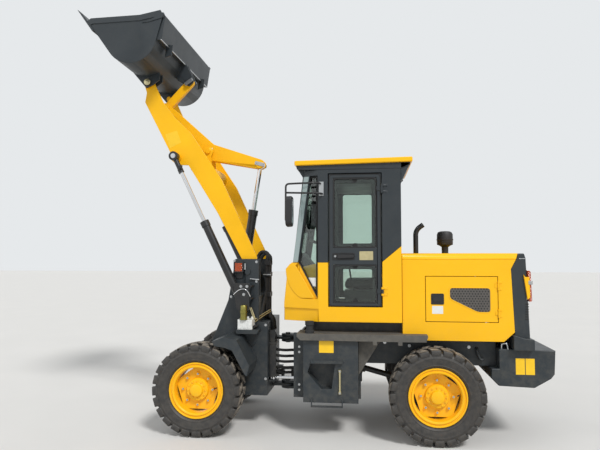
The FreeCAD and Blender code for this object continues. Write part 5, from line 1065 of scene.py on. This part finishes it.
class LOADER_OT_boom(bpy.types.Operator):
    """Makes the pin heads and keepers, blank labels, bolts, rod ends and plates of the boom and bucket"""
    bl_idname = "loader.boom"
    bl_label = "Boom and bucket trim"

    def execute(self, context):
        both("bucket_pin_head", "boom", "yellow_zinc", lambda bm, sign: turned(
            bm, [(0, 0), (0.034, 0), (0.036, 0.003), (0.036, 0.008), (0.03, 0.012), (0, 0.012)],
            ON_BOOM @ Vector((-BOOM_LENGTH, sign * 0.394, 0)), axis=(0, sign, 0), steps=24))
        both("boom_blank_label", "boom", "yellow_label", lambda bm, sign: plate(
            bm, sign, rounded_corners([(-1.588, 3.092), (-1.456, 3.129), (-1.406, 2.997), (-1.532, 2.938)],
                                      0.006), 0.3448, 0.3458))
        bolted("boom_pin_bolts", "boom", "zinc_plate",
               [(ON_BOOM @ Vector((-0.02, sign * 0.3525, z)), Vector((0, sign, 0)))
                for sign in (-1, 1) for z in (0.055, -0.055)], 0.017, 0.008, 0.012)

        def shears(bm):
            for sign in (-1, 1):
                plate(bm, sign, [(-1.673, 4.137), (-1.6, 4.158), (-1.54, 4.188), (-1.495, 4.222),
                                 (-1.468, 4.236), (-1.44, 4.232), (-1.43, 4.212), (-1.456, 4.178),
                                 (-1.6, 4.142)], 0.812, 0.8295)
                plate(bm, sign, [(-1.5, 4.0), (-1.43, 3.99), (-1.445, 3.88), (-1.52, 3.86)],
                      0.56, 0.574)

        piece("bucket_back_plate", "bucket", "slate_enamel", lambda bm: slab(
            bm, [(-1.44, 4.222), (-1.43, 4.205), (-1.466, 3.966), (-1.476, 3.958), (-1.52, 3.962),
                 (-1.505, 4.02)], -0.806, 0.806), edge=0.004)
        # A thin bright zinc strip along the back plate's lower fold: a painted highlight on the sheet's edge
        piece("bucket_back_seam", "bucket", "zinc_plate", lambda bm: slab(
            bm, [(-1.466, 3.9655), (-1.4695, 3.956), (-1.476, 3.9565), (-1.4735, 3.9665)], -0.806, 0.806),
            edge=0.001)
        piece("bucket_shear_plates", "bucket", "slate_enamel", shears, edge=0.003)

        # A keeper plate with two screws on each end of a pin: where it is, how far out, and its lean in degrees
        keeper = inset((-0.056, -0.02), (0.056, 0.02), 0, 0.012)
        thick = 0.006
        for name, body, (x, z), reach, angle in (("link_pin", "bucket", (-1.426, 3.76), 0.0585, -35),
                                                 ("crank_tail_pin", "bellcrank", (-0.595, 2.794), 0.0635, 15),
                                                 ("crank_hub_pin", "boom", CRANK_HUB, 0.0735, -40)):
            lean = Matrix.Translation((x, 0, z)) @ Matrix.Rotation(math.radians(angle), 4, "Y")
            piece(name + "_plates", body, "zinc_plate", lambda bm: [
                plate(bm, sign, keeper, reach, reach + thick, lean) for sign in (-1, 1)], edge=0.001)
            bolted(name + "_screws", body, "zinc_plate",
                   [(lean @ Vector((along, sign * (reach + thick), 0)), Vector((0, sign, 0)))
                    for along in (-0.038, 0.038) for sign in (-1, 1)], 0.014, 0.006, 0.01)

        def rod_end(bm, sign):
            turned(bm, [(0.0214, 0), (0.03, 0), (0.03, 0.045), (0.0262, 0.05), (0.0262, 0.165),
                        (0.0214, 0.165)], (-1.3628, sign * 0.44, 2.65), axis=(-0.43598, 0, 0.89993), steps=28)
            turned(bm, [(0.026, -0.0355), (0.0488, -0.0355), (0.0488, 0.0355), (0.026, 0.0355)],
                   (-1.45, sign * 0.44, 2.83))
            box(bm, sign, (-1.378, 2.69), (-1.346, 2.724), 0.47, 0.484)

        both("lift_rod_end", "lift_rod_{}", "black_enamel", rod_end)
        bolted("blade_bolts", "bucket", "zinc_plate",
               [(ON_BUCKET @ Vector((-0.72, -0.72 + 0.18 * k, -0.104)), ON_BUCKET.to_3x3() @ Vector((0, 0, -1)))
                for k in range(9)], 0.022, 0.002, 0.014)
        return {"FINISHED"}


# The outer face of the tower's side plates
TOWER_FACE = 0.384


class LOADER_OT_tower(bpy.types.Operator):
    """Makes the tower's ears, lamps, valve bank, hoses and pipes, and the fittings at the hinge and tanks"""
    bl_idname = "loader.tower"
    bl_label = "Tower and hinge fittings"

    def execute(self, context):
        front, rear = "front_frame", "rear_frame"
        spots = ((-0.795, 1.715), (-0.56, 1.705), (-0.56, 1.5), (-0.83, 1.34), (-0.727, 0.908),
                 (-0.655, 0.909), (-0.46, 1.05), (-0.46, 0.5))
        bolted("tower_bolts", front, "zinc_plate", heads(-1, 0.385, spots) + heads(1, 0.385, spots),
               0.019, 0.01, 0.014)

        def ear(bm, sign):
            """The outer ear of the lift cylinder's bracket, on two spacers clear of its swing."""
            plate(bm, sign, rounded_corners([(-0.772, 1.49), (-0.606, 1.49), (-0.606, 1.235), (-0.64, 1.18),
                                             (-0.7, 1.18), (-0.745, 1.235)], 0.022), 0.504, 0.516)
            for z in (1.455, 1.33):
                turned(bm, [(0, 0), (0.013, 0), (0.013, 0.122), (0, 0.122)], (-0.592, sign * TOWER_FACE, z),
                       axis=(-0.06, sign, 0), steps=16)

        def lamp_frame(bm, sign):
            hoop(bm, sign, (-0.796, 1.594), (-0.692, 1.706), (0, 0.01), (0.013, 0.008), TOWER_FACE, 0.428)
            plate(bm, sign, [(-0.79, 1.594), (-0.698, 1.594), (-0.71, 1.53), (-0.77, 1.53)],
                  TOWER_FACE, 0.396)

        def shelf(bm, sign):
            plate(bm, sign, [(-0.736, 0.985), (-0.728, 0.976), (-0.53, 0.976), (-0.506, 1.0),
                             (-0.506, 1.019), (-0.736, 1.019)], TOWER_FACE, 0.548)
            plate(bm, sign, [(-0.69, 0.978), (-0.53, 0.978), (-0.56, 0.86), (-0.64, 0.815),
                             (-0.68, 0.83)], TOWER_FACE, 0.396)

        both("lift_ear", front, "black_enamel", ear, edge=0.002)
        both_bolted("lift_ear_bolts", front, "zinc_plate", 0.516,
                    ((-0.695, 1.455), (-0.632, 1.455), (-0.665, 1.373)), 0.02, 0.01, 0.015)
        both("turn_lamp_lens", front, "orange_lens", lambda bm, sign: box(
            bm, sign, (-0.784, 1.602), (-0.704, 1.698), TOWER_FACE, 0.426), ("turn_lamps",), edge=0.006)
        both("turn_lamp_frame", front, "moulded_plastic", lamp_frame, edge=0.003)
        both("turn_lamp_bracket", front, "zinc_plate", lambda bm, sign: box(
            bm, sign, (-0.689, 1.622), (-0.672, 1.688), TOWER_FACE, 0.4), edge=0.002)
        both("valve_shelf", front, "slate_enamel", shelf, edge=0.003)

        def valve(bm):
            block(bm, (-0.722, -0.54, 1.02), (-0.572, -0.387, 1.12))
            for k in range(3):
                block(bm, (-0.718 + 0.05 * k, -0.5435, 1.03), (-0.677 + 0.05 * k, -0.539, 1.11))
            for k in (2, 3):
                turned(bm, [(0, 0), (0.014, 0), (0.014, 0.012), (0.011, 0.013), (0.011, 0.022), (0, 0.022)],
                       (-0.722 + 0.042 * k, -0.43, 1.119), axis=UP, steps=6)

        piece("valve_bank", front, "cast_aluminium", valve, edge=0.003, replaced=("valve_block",))
        piece("relief_valve", front, "olive_zinc", lambda bm: turned(
            bm, [(0, 0), (0.038, 0), (0.038, 0.018), (0.034, 0.022), (0.034, 0.06), (0.037, 0.064),
                 (0.037, 0.092), (0.033, 0.096), (0.033, 0.138), (0.028, 0.146), (0, 0.146)],
            (-0.66, -0.534, 1.119), axis=UP, steps=24))
        hose("steel_arc", front, "hard_chrome",
             [[(-0.77, -0.52, 1.37), (-0.745, -0.522, 1.4), (-0.69, -0.522, 1.432), (-0.625, -0.522, 1.424),
               (-0.596, -0.52, 1.352)]], 0.0045)
        hose("clamp_pipes", front, "zinc_plate",
             [[(-0.625, -0.398, 1.527), (-0.58, -0.4, 1.522), (-0.531, -0.398, 1.52)],
              [(-0.545, -0.083, 1.56), (-0.5, -0.084, 1.561), (-0.462, -0.083, 1.561)]], 0.0085)
        hose("zinc_pipes", front, "yellow_zinc",
             [[(-0.625, -0.42, 1.236), (-0.6, -0.42, 1.175), (-0.574, -0.42, 1.104)],
              [(-0.607, -0.424, 1.232), (-0.582, -0.424, 1.17), (-0.562, -0.424, 1.112)],
              [(-0.574, -0.42, 1.104), (-0.515, -0.3, 1.152), (-0.448, -0.185, 1.19)],
              [(-0.564, -0.424, 1.086), (-0.507, -0.304, 1.134), (-0.444, -0.185, 1.172)]], 0.0065)

        def risers(x, ys, top):
            """Hoses that climb behind the tower, bend over its cross plate and go down again."""
            low = 1.085
            return [[(x, y, low), (x, y, (low + top) / 2), (x, y * 0.98, top),
                     (x + 0.012, y * 0.9, top + 0.085), (x - 0.045, y * 0.8, top + 0.125),
                     (x - 0.1, y * 0.7, top + 0.085), (x - 0.118, y * 0.6, top - 0.01)] for y in ys]

        hose("riser_hoses", front, "black_rubber",
             risers(-0.513, (-0.054, -0.018, 0.018, 0.054), 1.7)
             + risers(-0.487, (-0.046, -0.01, 0.026), 1.675),
             0.0165)
        piece("hose_wraps", front, "moulded_plastic", lambda bm: [
            slab(bm, inset((-0.5338, z), (-0.47, z + 0.05), 0, 0.006), -0.075, 0.073)
            for z in (1.1, 1.32, 1.54, 1.665)], edge=0.003, replaced=("hose_sleeve",))
        hose("bank_hoses", front, "black_rubber",
             [[(-0.574, -0.515 + 0.028 * k, 1.046), (-0.552, -0.47 + 0.022 * k, 1.04),
               (-0.545, -0.4 + 0.016 * k, 1.045), (-0.536, -0.33 + 0.012 * k, 1.09),
               (-0.522, -0.22, 1.2 + 0.022 * k), (-0.515, -0.06, 1.32 + 0.022 * k)] for k in range(4)],
             context.scene.loader_sizes.hose)
        hose("drop_hoses", front, "black_rubber",
             [[(-0.505, y, 1.16), (-0.47, y, 1.13), (-0.428, y, 1.08), (-0.418, y, 1.0), (-0.418, y, 0.9),
               (-0.418, y, 0.8)] for y in (-0.15, -0.112, -0.074, -0.036)], 0.0155)
        piece("hose_block", front, "black_enamel", lambda bm: [
            block(bm, (-0.438, -0.3, 0.5), (-0.366, -0.155, 0.835)),
            block(bm, (-0.438, -0.285, 0.86), (-0.376, -0.16, 0.985)),
            block(bm, (-0.5, -0.296, 0.834), (-0.36, -0.15, 0.862))], edge=0.004)
        for k, z in enumerate((0.776, 0.716, 0.656, 0.596, 0.544)):
            y = -0.215 - 0.012 * (k % 2)
            thing = hose("hinge_hose_%d" % k, None, "black_rubber",
                         [[(-0.372, y, z), (-0.35, y - 0.004, z - 0.002), (-0.281, y - 0.014, z - 0.006),
                           (-0.2, y - 0.004, z - 0.002), (-0.128, y, z)]], 0.0145)
            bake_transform(thing)

        def guard(bm, sign):
            rear_edge, low, high = -0.0372, 0.363, 1.0
            for start, near, far in ((-0.146, 0.53, 0.54), (-0.05, 0.412, 0.531)):
                plate(bm, sign, [(start, low), (rear_edge, low), (rear_edge, high), (start, high)], near, far)

        both("tank_guard", rear, "slate_enamel", guard, edge=0.002)
        both_bolted("guard_bolts", rear, "zinc_plate", 0.54, [(-0.089, z) for z in (0.86, 0.808, 0.488, 0.436)],
                    0.017, 0.009, 0.012)
        both("tank_label", rear, "yellow_label", lambda bm, sign: plate(
            bm, sign, inset((0.12, 0.825), (0.262, 0.952), 0, 0.004), 0.66, 0.6612), edge=0.0004)
        both("level_gauge", rear, "yellow_zinc", lambda bm, sign: turned(
            bm, [(0, 0), (0.016, 0), (0.016, 0.022), (0.01, 0.024), (0.01, 0.206), (0.016, 0.208),
                 (0.016, 0.23), (0, 0.23)], (0.322, sign * 0.67, 0.436), axis=UP, steps=16))
        both_bolted("gauge_screws", rear, "zinc_plate", 0.684, ((0.322, 0.447), (0.322, 0.655)),
                    0.014, 0.006, 0.01)
        both_bolted("rail_bolts", rear, "zinc_plate", 0.41,
                    ((1.004, 0.87), (1.581, 0.868), (0.76, 0.9), (0.06, 0.96)), 0.022, 0.01, 0.016)
        both_hose("rail_hook", rear, "slate_enamel",
                  [[(1.655, 0.412, 0.86), (1.655, 0.44, 0.85), (1.66, 0.445, 0.8), (1.69, 0.445, 0.742),
                    (1.712, 0.445, 0.76)]], 0.014)
        return {"FINISHED"}


class LOADER_OT_stage(bpy.types.Operator):
    """Makes the floor, the lights, the backdrop's colour and the camera"""
    bl_idname = "loader.stage"
    bl_label = "Stage"

    def execute(self, context):
        scene = context.scene
        surface("pale_floor", scene.loader_colours.floor, 0.8, 12, 0.1, 900, 0.02)
        bm = bmesh.new()
        bmesh.ops.create_grid(bm, x_segments=2, y_segments=2, size=60)
        floor = placed("floor", dressed(filled("floor", bm), "pale_floor"))
        world = bpy.data.worlds.new("studio")
        scene.world = world
        world.use_nodes = True
        tree = world.node_tree
        tree.nodes.clear()
        rays = add(tree, "ShaderNodeLightPath")
        seen = add(tree, "ShaderNodeMath", {0: rays.outputs["Is Camera Ray"], 1: rays.outputs["Is Glossy Ray"]},
                   operation="MAXIMUM")
        through = add(tree, "ShaderNodeMath", {0: seen.outputs[0], 1: rays.outputs["Is Transmission Ray"]},
                      operation="MAXIMUM")
        ambient = add(tree, "ShaderNodeBackground", {"Color": (*linear("#EEF2F6"), 1), "Strength": 0.62})
        backdrop = add(tree, "ShaderNodeBackground", {"Color": (*linear("#E6E9EB"), 1), "Strength": 1.0})
        mixed = add(tree, "ShaderNodeMixShader", {0: through.outputs[0], 1: ambient.outputs[0],
                                                  2: backdrop.outputs[0]})
        add(tree, "ShaderNodeOutputWorld", {"Surface": mixed.outputs[0]})
        for name, kind, spot, power, spread in (("key", "SUN", (3.2, -4.6, 6.0), 2.3, 12),
                                                ("fill", "SUN", (-5.0, -4.0, 3.0), 0.5, 60)):
            data = bpy.data.lights.new(name, kind)
            data.energy = power
            data.angle = math.radians(spread)
            lamp = bpy.data.objects.new(name, data)
            lamp.location = spot
            lamp.rotation_euler = Vector(spot).to_track_quat("Z", "Y").to_euler()
            scene.collection.objects.link(lamp)
        view = bpy.data.cameras.new("photo_view")
        view.sensor_width = 36.0
        view.lens = 33.35
        view.clip_end = 200.0
        camera = bpy.data.objects.new("photo_view", view)
        camera.location = (0.613, -6.118, 1.758)
        camera.rotation_euler = (math.radians(93.27), 0, math.radians(7.1))
        scene.collection.objects.link(camera)
        scene.camera = camera
        scene.view_settings.view_transform = "Standard"
        return {"FINISHED"}


class LOADER_PT_panel(bpy.types.Panel):
    """Lists the loader's sizes, colours and pieces"""
    bl_label = "Wheel loader"
    bl_idname = "LOADER_PT_panel"
    bl_space_type = "VIEW_3D"
    bl_region_type = "UI"
    bl_category = "Loader"

    def draw(self, context):
        for group in (context.scene.loader_colours, context.scene.loader_sizes):
            box = self.layout.box()
            for name in group.__annotations__:
                box.prop(group, name)
        for operator in OPERATORS:
            self.layout.operator(operator.bl_idname)


OPERATORS = (LOADER_OT_stage, LOADER_OT_finishes, LOADER_OT_panels, LOADER_OT_tyres, LOADER_OT_rims,
             LOADER_OT_cab, LOADER_OT_seat, LOADER_OT_hood, LOADER_OT_boom, LOADER_OT_tower)
CLASSES = (LOADER_PG_colours, LOADER_PG_sizes, *OPERATORS, LOADER_PT_panel)


def register():
    for each in CLASSES:
        bpy.utils.register_class(each)
    bpy.types.Scene.loader_colours = bpy.props.PointerProperty(type=LOADER_PG_colours)
    bpy.types.Scene.loader_sizes = bpy.props.PointerProperty(type=LOADER_PG_sizes)


def unregister():
    del bpy.types.Scene.loader_sizes
    del bpy.types.Scene.loader_colours
    for each in reversed(CLASSES):
        bpy.utils.unregister_class(each)


def main():
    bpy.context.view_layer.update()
    register()
    for operator in OPERATORS:
        group, name = operator.bl_idname.split(".")
        getattr(getattr(bpy.ops, group), name)()


if __name__ == "__main__":
    main()
